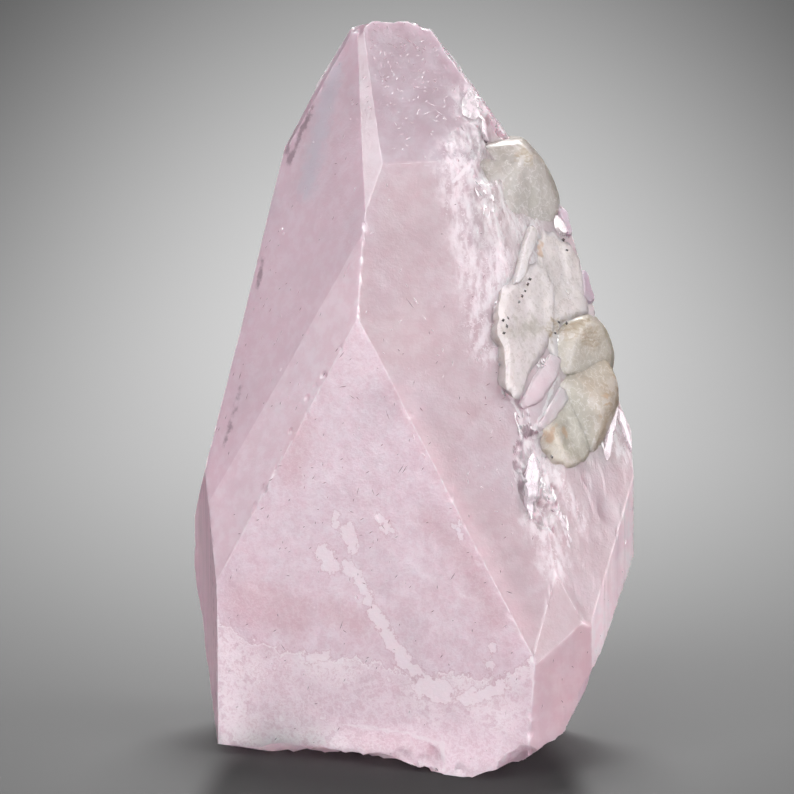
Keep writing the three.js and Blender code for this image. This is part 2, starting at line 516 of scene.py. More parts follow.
def new_group(name, inputs, outputs):
    """An empty group with named sockets. Returns its tree and its inputs' sockets."""
    tree = bpy.data.node_groups.new(name, "ShaderNodeTree")
    for label, value in inputs.items():
        kind = "NodeSocketVector" if isinstance(value, tuple) else "NodeSocketFloat"
        tree.interface.new_socket(label, in_out="INPUT", socket_type=kind).default_value = value
    for label in outputs:
        tree.interface.new_socket(label, in_out="OUTPUT", socket_type="NodeSocketFloat")
    given = tree.nodes.new("NodeGroupInput").outputs
    tree.nodes.new("NodeGroupOutput")
    return tree, given


def give_out(tree, **results):
    """Joins the results to a group's named outputs."""
    outlet = next(node for node in tree.nodes if node.type == "GROUP_OUTPUT")
    for label, socket in results.items():
        tree.links.new(socket, outlet.inputs[label])


def placed(tree, group, inputs):
    """The mask that one use of a node group gives, with its own values."""
    node = tree.nodes.new("ShaderNodeGroup")
    node.node_tree = group
    return fed(tree, node, inputs).outputs["Mask"]


def new_material(name):
    """A material, its node tree, and the socket of its Object coordinates in mm."""
    material = bpy.data.materials.new(name)
    material.use_nodes = True
    tree = material.node_tree
    place = node_of(tree, "TexCoord").outputs["Object"]
    return material, tree, vector_of(tree, "MULTIPLY", place, (1 / MM, 1 / MM, 1 / MM))


# patchy cloud: layered noise, cut off below one level and full above another
CLOUD, given = new_group("cloud", {
    "Place": (0, 0, 0), "Cell": 5.0, "Empty below": 0.45, "Full above": 0.6, "Detail": 3.0},
    ["Mask"])
scale = worked_out(CLOUD, "DIVIDE", 1.0, given["Cell"])
noise = node_of(CLOUD, "TexNoise", {"Vector": given["Place"], "Scale": scale,
                                    "Detail": given["Detail"], "Roughness": 0.62})
give_out(CLOUD, Mask=ramped(CLOUD, noise.outputs[0], given["Empty below"], given["Full above"]))

# worn edges, partly a painted highlight along them: full at a sharp edge, fading over a width
# that a noise widens and breaks
EDGE_WEAR_AND_HIGHLIGHT, given = new_group("edge_wear_and_highlight", {
    "Edge distance": 1.0, "Wander": 0.5, "Width": 0.3}, ["Mask"])
wander = node_of(EDGE_WEAR_AND_HIGHLIGHT, "MapRange", {"Value": given["Wander"], "From Min": 0.44,
                                         "From Max": 0.68, "To Min": 0.0, "To Max": 2.4})
width = worked_out(EDGE_WEAR_AND_HIGHLIGHT, "MULTIPLY", given["Width"], wander.outputs[0])
give_out(EDGE_WEAR_AND_HIGHLIGHT, Mask=ramped(EDGE_WEAR_AND_HIGHLIGHT, given["Edge distance"], width,
                                worked_out(EDGE_WEAR_AND_HIGHLIGHT, "MULTIPLY", width, 0.3)))


FAR_OFF = 50.0                # mm: further than any marking reaches


def outline_distance(points, strokes):
    """How far each point lies from the nearest of some round-ended strokes, in mm and
    negative inside: the distance to the line from stop to stop, less half the width."""
    points = points / MM
    least = np.full(len(points), FAR_OFF)
    for half_width, *stops in strokes:
        for one, other in zip(np.array(stops), np.array(stops[1:])):
            run = other - one
            share = np.clip((points - one) @ run / (run @ run), 0, 1)
            away = np.linalg.norm(points - one - share[:, None] * run, axis=1) - half_width
            least = np.minimum(least, away)
    return least


def attribute(tree, name, output="Fac"):
    """A value stored on the mesh."""
    return node_of(tree, "Attribute", attribute_name=name).outputs[output]


# the upper border of the frosted foot, as (x, z)
FROST_LINE = (
    (-30, 22), (-26.6, 21), (-25.9, 18), (-23.9, 17), (-22.9, 15.8), (-19.9, 15.5),
    (-16.8, 14.6), (-14.8, 14.3), (-11.8, 14), (-8.1, 14.2), (-4.1, 13.8), (-1.2, 13),
    (1.1, 12.3), (5, 13.3), (8.7, 12.9), (12.1, 13.4), (15.3, 16), (30, 24))
# markings, in mm: how far noise moves the outline, how wide the edge fades, then the
# strokes, each its half width and the points that it joins
BERYL_MARKINGS = {
    "white_cracks": (1.2, 0.12, (
        (0.2, (6.9, -0.4, 85.0), (8.9, -1.0, 83.7), (9.1, -2.4, 81.5), (8.3, -3.6, 79.8)),
        (0.3, (8.3, -3.6, 79.8), (5.4, -5.1, 76.8)),
        (0.35, (9.5, -5.2, 74.4), (11.3, -7.2, 68.9)),
        (0.25, (11.3, -6.8, 68.9), (11.5, -8.5, 63.9)),
        (0.25, (11.4, -9.3, 61.6), (11.5, -10.8, 57.1), (12.4, -11.3, 55.2), (12.7, -12.9, 50.1),
         (14.2, -13.8, 46.9), (14.7, -14.7, 43.8)),
        (0.3, (19.5, -6.6, 51.9), (17.6, -11.0, 47.2), (16.2, -13.7, 44.9)),
        (0.3, (21.8, -5.7, 48.5), (20.4, -8.2, 46.8), (18.9, -10.5, 45.1), (16.6, -13.7, 44.0)),
        (0.22, (17.5, -15.5, 38.6), (21.1, -15.5, 30.6)),
        (0.2, (18.8, -15.3, 35.9), (20.8, -16.1, 30.0)),
        (0.18, (15.7, -18.5, 36.4), (18.8, -19.9, 26.8)),
        (0.7, (16.8, -14.6, 41.7), (15.9, -19.5, 34.0)),
        (0.3, (17.9, -14.1, 40.3), (18.9, -15.2, 35.9)),
        (0.3, (4.0, -19.5, 5.4), (4.0, -19.7, 0.7)),
        (0.25, (-9.4, -14.0, 5.5), (-1.5, -17.3, 5.3), (3.7, -19.4, 4.0)),
        (0.2, (4.6, -0.9, 85.2), (6.2, -2.8, 83.3), (8.6, -3.6, 81.2)),
        (0.2, (9.0, -3.8, 80.7), (7.6, -5.5, 77.1)),
        (0.2, (9.4, -3.6, 80.0), (8.9, -6.4, 74.0), (9.4, -8.4, 68.0)),
        (0.12, (-7.1, -13.2, 59.4), (-15.5, -10.2, 44.0)),
        (0.1, (-16.0, -10.0, 43.0), (-25.3, -7.0, 24.8)),
    )),
    "pale_plates": (3.4, 0.04, (
        (0.6, (-9.9, -13.0, 33.2), (-9.7, -13.0, 32.4)),
        (1.0, (-8.2, -13.8, 31.8), (-7.6, -13.8, 29.4)),
        (1.3, (-11.6, -12.5, 28.0), (-10.6, -12.7, 26.9)),
        (0.7, (-8.6, -13.5, 26.9), (-6.1, -14.8, 24.0), (-5.5, -15.0, 22.0), (-3.4, -16.0, 18.7)),
        (0.8, (-3.4, -16.0, 18.7), (-1.8, -16.9, 15.6), (0.6, -18.1, 13.2)),
        (1.5, (1.6, -18.2, 11.6), (4.0, -19.2, 11.0)),
        (0.9, (7.0, -20.4, 10.4), (9.4, -21.8, 11.2), (11.6, -22.4, 12.6)),
        (0.4, (10.6, -21.7, 18.5), (10.3, -21.7, 15.2)),
        (0.7, (-4.2, -15.4, 33.2), (-2.6, -16.0, 31.6)),
        (0.5, (6.2, -19.0, 33.0), (7.0, -19.4, 31.4)),
        (0.5, (-13.7, -12.0, 14.1), (-11.2, -13.1, 14.5)),
        (0.5, (-27.2, -6.3, 22.0), (-26.8, -6.4, 16.0), (-26.9, -6.3, 4.0)),
    )),
    "salmon": (3.0, 1.8, (
        (3.0, (-22.2, -8.3, 21.0), (-15.5, -11, 20.0)),
        (1.6, (-10.8, -12.9, 20.8), (-6.8, -14.6, 19.1)),
        (1.6, (2.4, -17.8, 33.7), (7.6, -20.1, 28.8), (11.0, -21.5, 22.0)),
        (1.8, (-14.7, -10.5, 44.4), (-15.8, -10.2, 39.1)),
        (1.1, (-7.5, -14.8, 3.6), (-1.0, -17.5, 3.4), (2.6, -19.0, 2.8)),
        (0.8, (-1.6, -15.2, 50.0), (14.6, -23.0, 20.4)),
    )),
    "snowy": (15.0, 1.2, (
        (2.6, (-24.0, -7.7, 9.0), (-22.5, -8.3, 3.5)),
        (2.0, (-25.0, -7.2, 15.0), (-22.0, -8.6, 12.0)),
        (1.6, (-13.7, -12.0, 14.0), (-9.0, -14.0, 12.5)),
        (2.4, (6.6, -20.3, 11.6), (11.5, -22.4, 9.1)),
        (1.5, (12.0, -22.4, 13.0), (14.5, -23.6, 15.0)),
        (1.4, (-17.0, -10.6, 3.0), (-10.0, -13.5, 3.2)),
        (1.2, (0.0, -17.8, 10.5), (3.0, -18.9, 8.0)),
    )),
    "dark_cracks": (2.6, 0.35, (
        (0.4, (-13.3, 7.9, 85.7), (-15.0, 8.0, 82.0)),
        (0.5, (-14.6, 8.0, 83.0), (-16.4, 8.1, 78.6)),
        (0.4, (-15.7, 12.8, 83.7), (-16.7, 9.1, 79.9)),
        (0.3, (-20.1, 6.0, 65.0), (-20.7, 5.1, 62.0)),
        (0.25, (-21.9, 6.3, 58.4), (-22.4, 5.5, 55.8)),
        (0.35, (-22.6, 1.6, 48.4), (-24.1, 0.5, 43.5), (-24.9, 0.1, 40.8)),
        (0.1, (-27.6, -2.6, 34.8), (-26.8, -2.6, 19.6), (-25.6, -2.6, 3.9)),
        (0.05, (-27.0, -4.0, 32.0), (-26.4, -4.0, 12.0)),
        (0.05, (-26.6, -5.5, 27.0), (-26.4, -5.5, 6.0)),
    )),
    # a painted see-through: grey where a clear patch of the left shoulder shows what lies behind
    # it
    "grey_window": (4.0, 1.5, (
        (1.7, (-10.4, 6.6, 91.0), (-12.8, 4.2, 80.3), (-13.9, 3.3, 75.7)),
    )),
    "veiled": (4.0, 1.5, (
        (4.2, (7.5, -4.3, 80.1), (9.5, -6.5, 68.0), (11.5, -10.5, 57.0)),
        (2.2, (16.6, -15.0, 42.0), (17.0, -17.5, 34.0), (19.0, -19.0, 28.0)),
        (1.2, (19.5, -13.5, 40.0), (22.5, -12.5, 32.0)),
        (3.4, (14.0, -2.0, 75.0), (17.0, -2.0, 66.0), (22.5, -4.0, 56.0)),
        (3.0, (20.5, -1.0, 68.0), (22.5, -2.0, 60.0)),
        (2.4, (8.2, 0.8, 87.5), (10.6, -0.8, 83.2)),
        (2.6, (27.2, -3.0, 44.0), (28.5, -2.0, 41.0)),
    )),
}
# how strongly each mark covers the face's tone, and with what colour
BERYL_MARKS = {
    "salmon": (0.75, (0.68, 0.48, 0.53)),
    "frost": (0.4, (0.74, 0.61, 0.67)),
    "snow": (0.6, (0.93, 0.86, 0.895)),
    "dark lace": (0.8, (0.58, 0.40, 0.45)),
    "white lace": (0.7, (0.94, 0.87, 0.905)),
    "frost rim": (0.85, (0.95, 0.89, 0.92)),
    "frost shade": (0.45, (0.52, 0.34, 0.39)),
    "plate rim": (0.5, (0.56, 0.38, 0.43)),
    "pale plate": (0.85, (0.92, 0.84, 0.885)),
    "painted see-through": (0.85, (0.55, 0.53, 0.60)),
    "dark crack": (0.7, (0.10, 0.055, 0.085)),
}
WHITENED = (0.84, 0.77, 0.81)
# lines round the frosted foot and the pale plates: where each runs, by its distance from
# the outline, and its half width, in mm
FROST_RIM = (-0.12, 0.22)
FROST_SHADE = (0.3, 0.25)
PLATE_RIM = (0.12, 0.16)
FROST_WANDER = 5.0
FROST_FADE = 0.06
# lace: how far apart the noise's levels are, and where each line fades out and is full
LACE_STEP = 0.1
DARK_LACE = (0.03, 0.008)
WHITE_LACE = (0.066, 0.09)
FEATHER_LACE = (0.025, 0.006)
SMOOTHEST = 0.22              # roughness, before what etching adds
ETCHED_MORE = 0.22
BERYL_IOR = 1.58

beryl, tree, place = new_material("pink_beryl")
ragged = node_of(tree, "TexNoise", {"Vector": place, "Scale": 0.8, "Detail": 4.0,
                                    "Roughness": 0.66}).outputs[0]
etch = attribute(tree, "etch")


def moved(tree, name, noise, wander):
    """A stored outline distance, moved in and out by a noise."""
    return worked_out(tree, "MULTIPLY_ADD", worked_out(tree, "SUBTRACT", noise, 0.5),
                      wander, attribute(tree, name))


def marked(tree, name, noise, markings):
    """1 inside a marking, by its stored outline distance, and 0 outside."""
    wander, fade, _ = markings[name]
    return ramped(tree, moved(tree, name, noise, wander), fade, -fade)


def lined(tree, distance, middle, half_width):
    """1 along a line at one value of a distance, fading over a half width."""
    away = worked_out(tree, "ABSOLUTE", worked_out(tree, "SUBTRACT", distance, middle))
    return ramped(tree, away, half_width, half_width * 0.3)


def laid(tree, tone, mask, strength, colour):
    """A colour over the tone, at a strength, where the mask is."""
    return over(tree, worked_out(tree, "MULTIPLY", mask, strength), tone, colour)


# the body colour, with a fine mottle
tone = attribute(tree, "tone", "Color")
mottle = placed(tree, CLOUD, {"Place": place, "Cell": 1.8, "Empty below": 0.38,
                              "Full above": 0.66})
tone = vector_of(tree, "MULTIPLY", tone, node_of(tree, "CombineXYZ", {
    0: worked_out(tree, "MULTIPLY_ADD", mottle, 0.08, 0.96),
    1: worked_out(tree, "MULTIPLY_ADD", mottle, 0.16, 0.92),
    2: worked_out(tree, "MULTIPLY_ADD", mottle, 0.14, 0.93)}).outputs[0])

# the front's marks: salmon bands, the frosted foot with its snow, and pale plates
marks = {name: marked(tree, name, ragged, BERYL_MARKINGS) for name in BERYL_MARKINGS}
tone = laid(tree, tone, marks["salmon"], *BERYL_MARKS["salmon"])
front = attribute(tree, "front")
border = moved(tree, "frosted", ragged, FROST_WANDER)
frosted = worked_out(tree, "MULTIPLY", ramped(tree, border, FROST_FADE, -FROST_FADE), front)
tone = laid(tree, tone, frosted, *BERYL_MARKS["frost"])
snow = worked_out(tree, "MULTIPLY", marks["snowy"], frosted)
tone = laid(tree, tone, snow, *BERYL_MARKS["snow"])
# thin lace where the noise crosses evenly spaced levels, like the edges of etched layers
level = worked_out(tree, "PINGPONG", ragged, LACE_STEP)
laced = worked_out(tree, "MULTIPLY", front, worked_out(tree, "MULTIPLY_ADD", frosted, 0.25, 0.35))
for name, fading in (("dark lace", DARK_LACE), ("white lace", WHITE_LACE)):
    lace = worked_out(tree, "MULTIPLY", ramped(tree, level, *fading), laced)
    tone = laid(tree, tone, lace, *BERYL_MARKS[name])
for name, line in (("frost rim", FROST_RIM), ("frost shade", FROST_SHADE)):
    rim = worked_out(tree, "MULTIPLY", lined(tree, border, *line), front)
    tone = laid(tree, tone, rim, *BERYL_MARKS[name])
outline = moved(tree, "pale_plates", ragged, BERYL_MARKINGS["pale_plates"][0])
tone = laid(tree, tone, lined(tree, outline, *PLATE_RIM), *BERYL_MARKS["plate rim"])
tone = laid(tree, tone, marks["pale_plates"], *BERYL_MARKS["pale plate"])

# the left shoulder's grey window, painted where a clear patch shows the dark behind it, and its
# dark cracks
tone = laid(tree, tone, marks["grey_window"], *BERYL_MARKS["painted see-through"])
tone = laid(tree, tone, marks["dark_cracks"], *BERYL_MARKS["dark crack"])

# white feathers, healed cracks, worn edges with a painted highlight along them, and chips
drawn = vector_of(tree, "MULTIPLY", place, (1.3, 1.3, 0.32))
feather = placed(tree, CLOUD, {"Place": drawn, "Cell": 1.3, "Empty below": 0.4,
                               "Full above": 0.62, "Detail": 4.0})
feather = worked_out(tree, "MAXIMUM", feather, ramped(tree, level, *FEATHER_LACE))
feather = worked_out(tree, "MULTIPLY", feather, marks["veiled"])
wear_and_highlight = placed(tree, EDGE_WEAR_AND_HIGHLIGHT, {"Edge distance": attribute(tree, "edge_distance"),
                                "Wander": ragged, "Width": 0.14})
fresh = worked_out(tree, "MULTIPLY", ramped(tree, attribute(tree, "chipped"), 0.25, 0.9), mottle)
white = worked_out(tree, "MULTIPLY", feather, 0.85)
for mask, strength in ((marks["white_cracks"], 0.9), (wear_and_highlight, 0.65), (fresh, 0.2)):
    white = worked_out(tree, "MAXIMUM", white, worked_out(tree, "MULTIPLY", mask, strength))
tone = over(tree, white, tone, WHITENED)

# roughness: frosted where it is etched, silky on the veils, glassy on fresh breaks
rough = worked_out(tree, "MULTIPLY_ADD", etch, ETCHED_MORE, SMOOTHEST)
for mask, rise in ((frosted, 0.14), (mottle, 0.06), (white, 0.1)):
    rough = worked_out(tree, "MULTIPLY_ADD", mask, rise, rough)

# fine relief: a grain, drawn out into upright lines on the prism faces
stretch = worked_out(tree, "MULTIPLY_ADD", attribute(tree, "striated"), -0.94, 1.0)
drawn = node_of(tree, "CombineXYZ", {"X": 1.0, "Y": 1.0, "Z": stretch}).outputs[0]
grain = node_of(tree, "TexNoise", {"Vector": vector_of(tree, "MULTIPLY", place, drawn),
                                   "Scale": 2.2, "Detail": 2.0, "Roughness": 0.65}).outputs[0]
height = worked_out(tree, "MULTIPLY", grain, worked_out(tree, "MULTIPLY_ADD", etch, 0.5, 0.25))
bump = node_of(tree, "Bump", {"Strength": 0.6, "Distance": 0.12 * MM, "Height": height})

fed(tree, tree.nodes["Principled BSDF"], {
    "IOR": BERYL_IOR, "Transmission Weight": 0.8, "Subsurface Weight": 1.0,
    "Subsurface Radius": (1.0, 0.7, 0.78), "Subsurface Scale": 0.005,
    "Base Color": tone, "Roughness": rough, "Normal": bump.outputs["Normal"]})


SHARP_ANGLE = np.radians(28)


def mesh_object(name, points, triangles, material):
    """A Blender object from arrays of points and of triangles or quads."""
    mesh = bpy.data.meshes.new(name)
    mesh.from_pydata(points.tolist(), [], triangles.tolist())
    mesh.polygons.foreach_set("use_smooth", np.ones(len(triangles), bool))
    mesh.set_sharp_from_angle(angle=SHARP_ANGLE)
    mesh.materials.append(material)
    piece = bpy.data.objects.new(name, mesh)
    bpy.context.scene.collection.objects.link(piece)
    return piece


def store(piece, name, domain, values):
    """Keeps a number or a colour for every point or triangle of a piece's mesh."""
    values = np.asarray(values, np.float32)
    kind, field = "FLOAT", "value"
    if values.ndim == 2:
        kind, field = "FLOAT_COLOR", "color"
        values = np.column_stack([values, np.ones(len(values), np.float32)])
    piece.data.attributes.new(name, kind, domain).data.foreach_set(field, values.ravel())


def join_on(piece):
    """Makes a piece ride with the crystal and stand in for it."""
    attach(piece, "root")
    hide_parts("morganite_crystal")


def clouded(tones, noise, strength, colour):
    """Tones taken part of the way to a colour wherever a noise is above 0."""
    share = np.clip(noise, 0, 1)[:, None] * strength
    return tones * (1 - share) + np.array(colour) * share


crystal = mesh_object("crystal", points, triangles, beryl)

# each point's colour: its face's tone, partly painted light, clouded widely towards pink and
# towards grey
tones, etched = zip(*(FACE_TONES_AND_PAINTED_LIGHT.get(name, OTHER_TONE) for name in FACE_NAMES))
tones = np.array(tones)[of_point]
tones = clouded(tones, layered_noise(whole_skin, 14 * MM, layers=2, seed=41), 0.4, PINK_CLOUD)
patches = layered_noise(whole_skin, 8 * MM, layers=3, seed=51) - 0.1
tones = clouded(tones, patches, 0.5, GREY_CLOUD)
store(crystal, "tone", "POINT", tones)
store(crystal, "etch", "FACE", np.array(etched)[owner])
store(crystal, "front", "FACE", on_faces(owner, ["front"]))
store(crystal, "striated", "FACE", on_faces(owner, STRIATED_FACES))
store(crystal, "edge_distance", "POINT", wear_distance / MM)
store(crystal, "chipped", "POINT", chipped)
frost_border = np.interp(whole_skin[:, 0] / MM, *np.transpose(FROST_LINE))
store(crystal, "frosted", "POINT", whole_skin[:, 2] / MM - frost_border)
for name, (_, _, strokes) in BERYL_MARKINGS.items():
    store(crystal, name, "POINT", outline_distance(whole_skin, strokes))
join_on(crystal)


# ---------------------------------------------------------------------------
# Quartz grown into the broken flank: chunky grey-green lumps with a rusty skin, one
# above and two joined below. Each is a block with a few faces and rounded edges, its
# back sunk in the beryl.
# ---------------------------------------------------------------------------
# the middle in mm, the bluntness (small is round), the tone, and each face's bearing,
# rise and distance from the middle, as for the beryl
QUARTZ_LUMPS = {
    "quartz_upper": ((15.3, 2.2, 75.6), 14, (0.27, 0.24, 0.215), (
        (-50, 84, 6.3), (81, 42, 3.8), (80, 21, 3.3), (79, 6, 4.0), (45, 10, 1.7),
        (25, 18, 3.1), (20, 30, 3.4), (44, 14, 3.0), (28, 46, 4.4), (-75, 0, 7.5),
        (0, -75, 9), (150, 20, 5.5), (-150, -10, 5.5), (100, -40, 6.0))),
    "quartz_lower_top": ((23.2, 0.5, 55.0), 12, (0.34, 0.295, 0.235), (
        (-61, 82, 3.5), (81, 46, 2.9), (80, 19, 2.9), (75, -16, 4.2), (26, -68, 5.5),
        (26, 18, 3.3), (30, 40, 2.8), (48, 10, 1.8), (-78, 3, 6.0), (34, 24, 2.8),
        (160, 10, 5), (-140, 0, 5))),
    "quartz_lower": ((23.0, -2.5, 46.5), 14, (0.30, 0.235, 0.165), (
        (-48, 84, 6.0), (-76, 72, 6.0), (80, 25, 5.4), (78, -1, 4.4), (75, -16, 4.4),
        (74, -20, 4.5), (47, -61, 7.3), (-73, -22, 7.5), (-79, 8, 7), (26, 12, 3.5),
        (40, 32, 3.2), (52, 22, 3.6), (47, 6, 3.5), (160, 5, 5), (-140, 0, 5))),
}
LUMP_STEPS = (150, 110)       # round and up
LUMP_SWELLS = ((4 * MM, 0.12 * MM), (1 * MM, 0.02 * MM))     # cell and height
# markings on the quartz, as for the beryl
QUARTZ_MARKINGS = {
    "green_heart": (4.0, 1.0, (
        (2.0, (17.8, -0.9, 74.7), (18.2, -2.3, 71.2)),
        (3.4, (21.0, -8.0, 49.0), (22.5, -8.5, 43.0)),
        (1.2, (13.6, -11.5, 57.9), (17.0, -7.6, 58.1)),
    )),
    "pale_spots": (2.0, 0.3, (
        (1.1, (20.3, -8.0, 53.4), (23.5, -4.8, 52.8)),
        (0.8, (23.5, -6.8, 49.0), (25.2, -4.6, 49.5)),
        (0.9, (14.5, -5.5, 70.0), (13.4, -9.5, 64.5)),
    )),
    "yellow_skin": (3.0, 0.5, (
        (1.5, (11.7, -3.9, 81.5), (14.5, -0.9, 81.4), (16.2, 0.3, 79.8)),
        (1.1, (11.7, -5.1, 79.7), (15.1, -1.6, 79.0)),
        (2.2, (20.0, -6.5, 57.9), (23.2, -2.9, 57.9), (25.0, -1.9, 56.0)),
        (1.0, (26.0, -2.0, 54.0), (27.0, -2.8, 50.1), (26.5, -5.0, 46.3)),
    )),
    "rust": (3.0, 0.3, (
        (0.75, (16.6, -0.2, 78.2), (17.9, 0.4, 76.6), (18.8, 0.4, 74.6)),
        (0.7, (17.6, -1.6, 68.6), (17.6, -2.2, 67.3)),
        (0.7, (17.5, -12.9, 44.2), (18.4, -12.4, 43.5)),
        (0.25, (18.4, -12.2, 44.0), (19.6, -10.8, 44.6), (20.8, -9.4, 44.2)),
        (0.7, (25.8, -1.6, 54.6), (26.9, -2.8, 50.1), (26.5, -5.0, 46.3), (25.0, -8.4, 42.8)),
        (0.4, (19.6, -4.7, 58.1), (19.1, -6.0, 56.8)),
    )),
}
QUARTZ_MARKS = {
    "mottle": (0.3, (0.36, 0.33, 0.30)),
    "green_heart": (0.6, (0.26, 0.245, 0.19)),
    "pale_spots": (0.5, (0.48, 0.44, 0.40)),
    "yellow_skin": (0.65, (0.32, 0.26, 0.17)),
    "white lace": (0.5, (0.56, 0.53, 0.52)),
    "dark lace": (0.4, (0.22, 0.19, 0.16)),
    "brown stripe": (0.7, (0.24, 0.17, 0.10)),
    "rust": (0.62, (0.40, 0.22, 0.10)),
    "worn crease": (0.35, (0.50, 0.47, 0.46)),
}
QUARTZ_LACE_STEP = 0.13
QUARTZ_WHITE_LACE = (0.024, 0.008)
QUARTZ_DARK_LACE = (0.1, 0.12)
QUARTZ_CLOUD = 0.12           # how far its tone wanders, by the tone


def lump_skin(faces, bluntness, steps):
    """A rounded block: in the direction d its reach is the sum over its faces of
    (max(n . d, 0) / distance) ** bluntness, all to the power -1 / bluntness. The grid
    runs round from pole to pole, and each pole is one point."""
    around, up = steps
    turn = np.arange(around) / around * 360
    rise = np.linspace(-90, 90, up + 1)[1:-1]
    grid = outward(*np.meshgrid(turn, rise))
    poles = outward(np.zeros(2), np.array([-90, 90]))
    directions = np.concatenate([grid.reshape(-1, 3), poles])
    table = np.array(faces, float)
    leaning = np.maximum(directions @ outward(table[:, 0], table[:, 1]).T, 0)
    reach = ((leaning / table[:, 2]) ** bluntness).sum(1) ** (-1 / bluntness)
    i, j = np.meshgrid(np.arange(around), np.arange(up - 2))
    a = (i + j * around).ravel()
    b = ((i + 1) % around + j * around).ravel()
    last = around * (up - 1)
    ring = np.arange(around)
    following = (ring + 1) % around
    top = last - around
    triangles = np.concatenate([
        sides(a, b, b + around), sides(a, b + around, a + around),
        sides(following, ring, last), sides(top + ring, top + following, last + 1)])
    return directions * (reach * MM)[:, None], triangles


quartz, tree, place = new_material("grey_green_quartz")
ragged = node_of(tree, "TexNoise", {"Vector": place, "Scale": 0.9, "Detail": 5.0}).outputs[0]
tone = attribute(tree, "tone", "Color")
mottle = placed(tree, CLOUD, {"Place": place, "Cell": 1.6, "Empty below": 0.4,
                              "Full above": 0.68})
tone = laid(tree, tone, mottle, *QUARTZ_MARKS["mottle"])
marks = {name: marked(tree, name, ragged, QUARTZ_MARKINGS) for name in QUARTZ_MARKINGS}
for name in ("green_heart", "pale_spots", "yellow_skin"):
    tone = laid(tree, tone, marks[name], *QUARTZ_MARKS[name])
level = worked_out(tree, "PINGPONG", ragged, QUARTZ_LACE_STEP)
for name, fading in (("white lace", QUARTZ_WHITE_LACE), ("dark lace", QUARTZ_DARK_LACE)):
    tone = laid(tree, tone, ramped(tree, level, *fading), *QUARTZ_MARKS[name])
stripes = node_of(tree, "TexWave", {
    "Vector": place, "Scale": 0.55, "Distortion": 9.0, "Detail": 3.0, "Detail Scale": 1.2},
    bands_direction="Z").outputs["Fac"]
# brown stripes, only where the skin is yellow
stripes = ramped(tree, stripes, 0.45, 0.9)
stripes = worked_out(tree, "MULTIPLY", stripes, marks["yellow_skin"])
tone = laid(tree, tone, stripes, *QUARTZ_MARKS["brown stripe"])
tone = laid(tree, tone, marks["rust"], *QUARTZ_MARKS["rust"])
# a lighter line along the lumps' creases: partly wear, partly a painted highlight
wear_and_highlight = placed(tree, EDGE_WEAR_AND_HIGHLIGHT, {"Edge distance": attribute(tree, "crease_distance"),
                                "Wander": ragged, "Width": 0.25})
tone = laid(tree, tone, wear_and_highlight, *QUARTZ_MARKS["worn crease"])
rough = worked_out(tree, "MULTIPLY_ADD", mottle, 0.14, 0.34)
rough = worked_out(tree, "MULTIPLY_ADD", marks["rust"], 0.25, rough)
grain = node_of(tree, "TexNoise", {"Vector": place, "Scale": 1.8, "Detail": 3.0}).outputs[0]
bump = node_of(tree, "Bump", {"Strength": 0.45, "Distance": 0.1 * MM, "Height": grain})
fed(tree, tree.nodes["Principled BSDF"], {
    "IOR": 1.54, "Transmission Weight": 0.72, "Subsurface Weight": 1.0,
    "Subsurface Radius": (1.0, 0.95, 0.8), "Subsurface Scale": 0.003,
    "Base Color": tone, "Roughness": rough, "Normal": bump.outputs["Normal"]})


def finish_quartz(piece, points, tone, crease):
    """Stores what the quartz's material reads, and joins the piece to the crystal."""
    cloudy = np.clip(layered_noise(points, 4 * MM, layers=3, seed=61), -1, 1)
    cloudy = cloudy[:, None] * QUARTZ_CLOUD
    store(piece, "tone", "POINT", np.clip(np.array(tone) * (1 + cloudy), 0, 1))
    store(piece, "crease_distance", "POINT", crease)
    for name, (_, _, strokes) in QUARTZ_MARKINGS.items():
        store(piece, name, "POINT", outline_distance(points, strokes))
    join_on(piece)


for name, (middle, bluntness, tone, faces) in QUARTZ_LUMPS.items():
    local, lump_triangles = lump_skin(faces, bluntness, LUMP_STEPS)
    # how far each point is from where two of the lump's faces meet
    table = np.array(faces, float)
    inside = table[:, 2] - local / MM @ outward(table[:, 0], table[:, 1]).T
    inside.sort(axis=1)
    crease = inside[:, 1] - inside[:, 0]
    lump_points = local + np.array(middle) * MM
    still = lump_points.copy()
    out = local / np.linalg.norm(local, axis=1)[:, None]
    for cell, height in LUMP_SWELLS:
        swell = height * layered_noise(still, cell, layers=2, seed=71)
        lump_points += out * swell[:, None]
    lump = mesh_object(name, lump_points, lump_triangles, quartz)
    finish_quartz(lump, still, tone, crease)


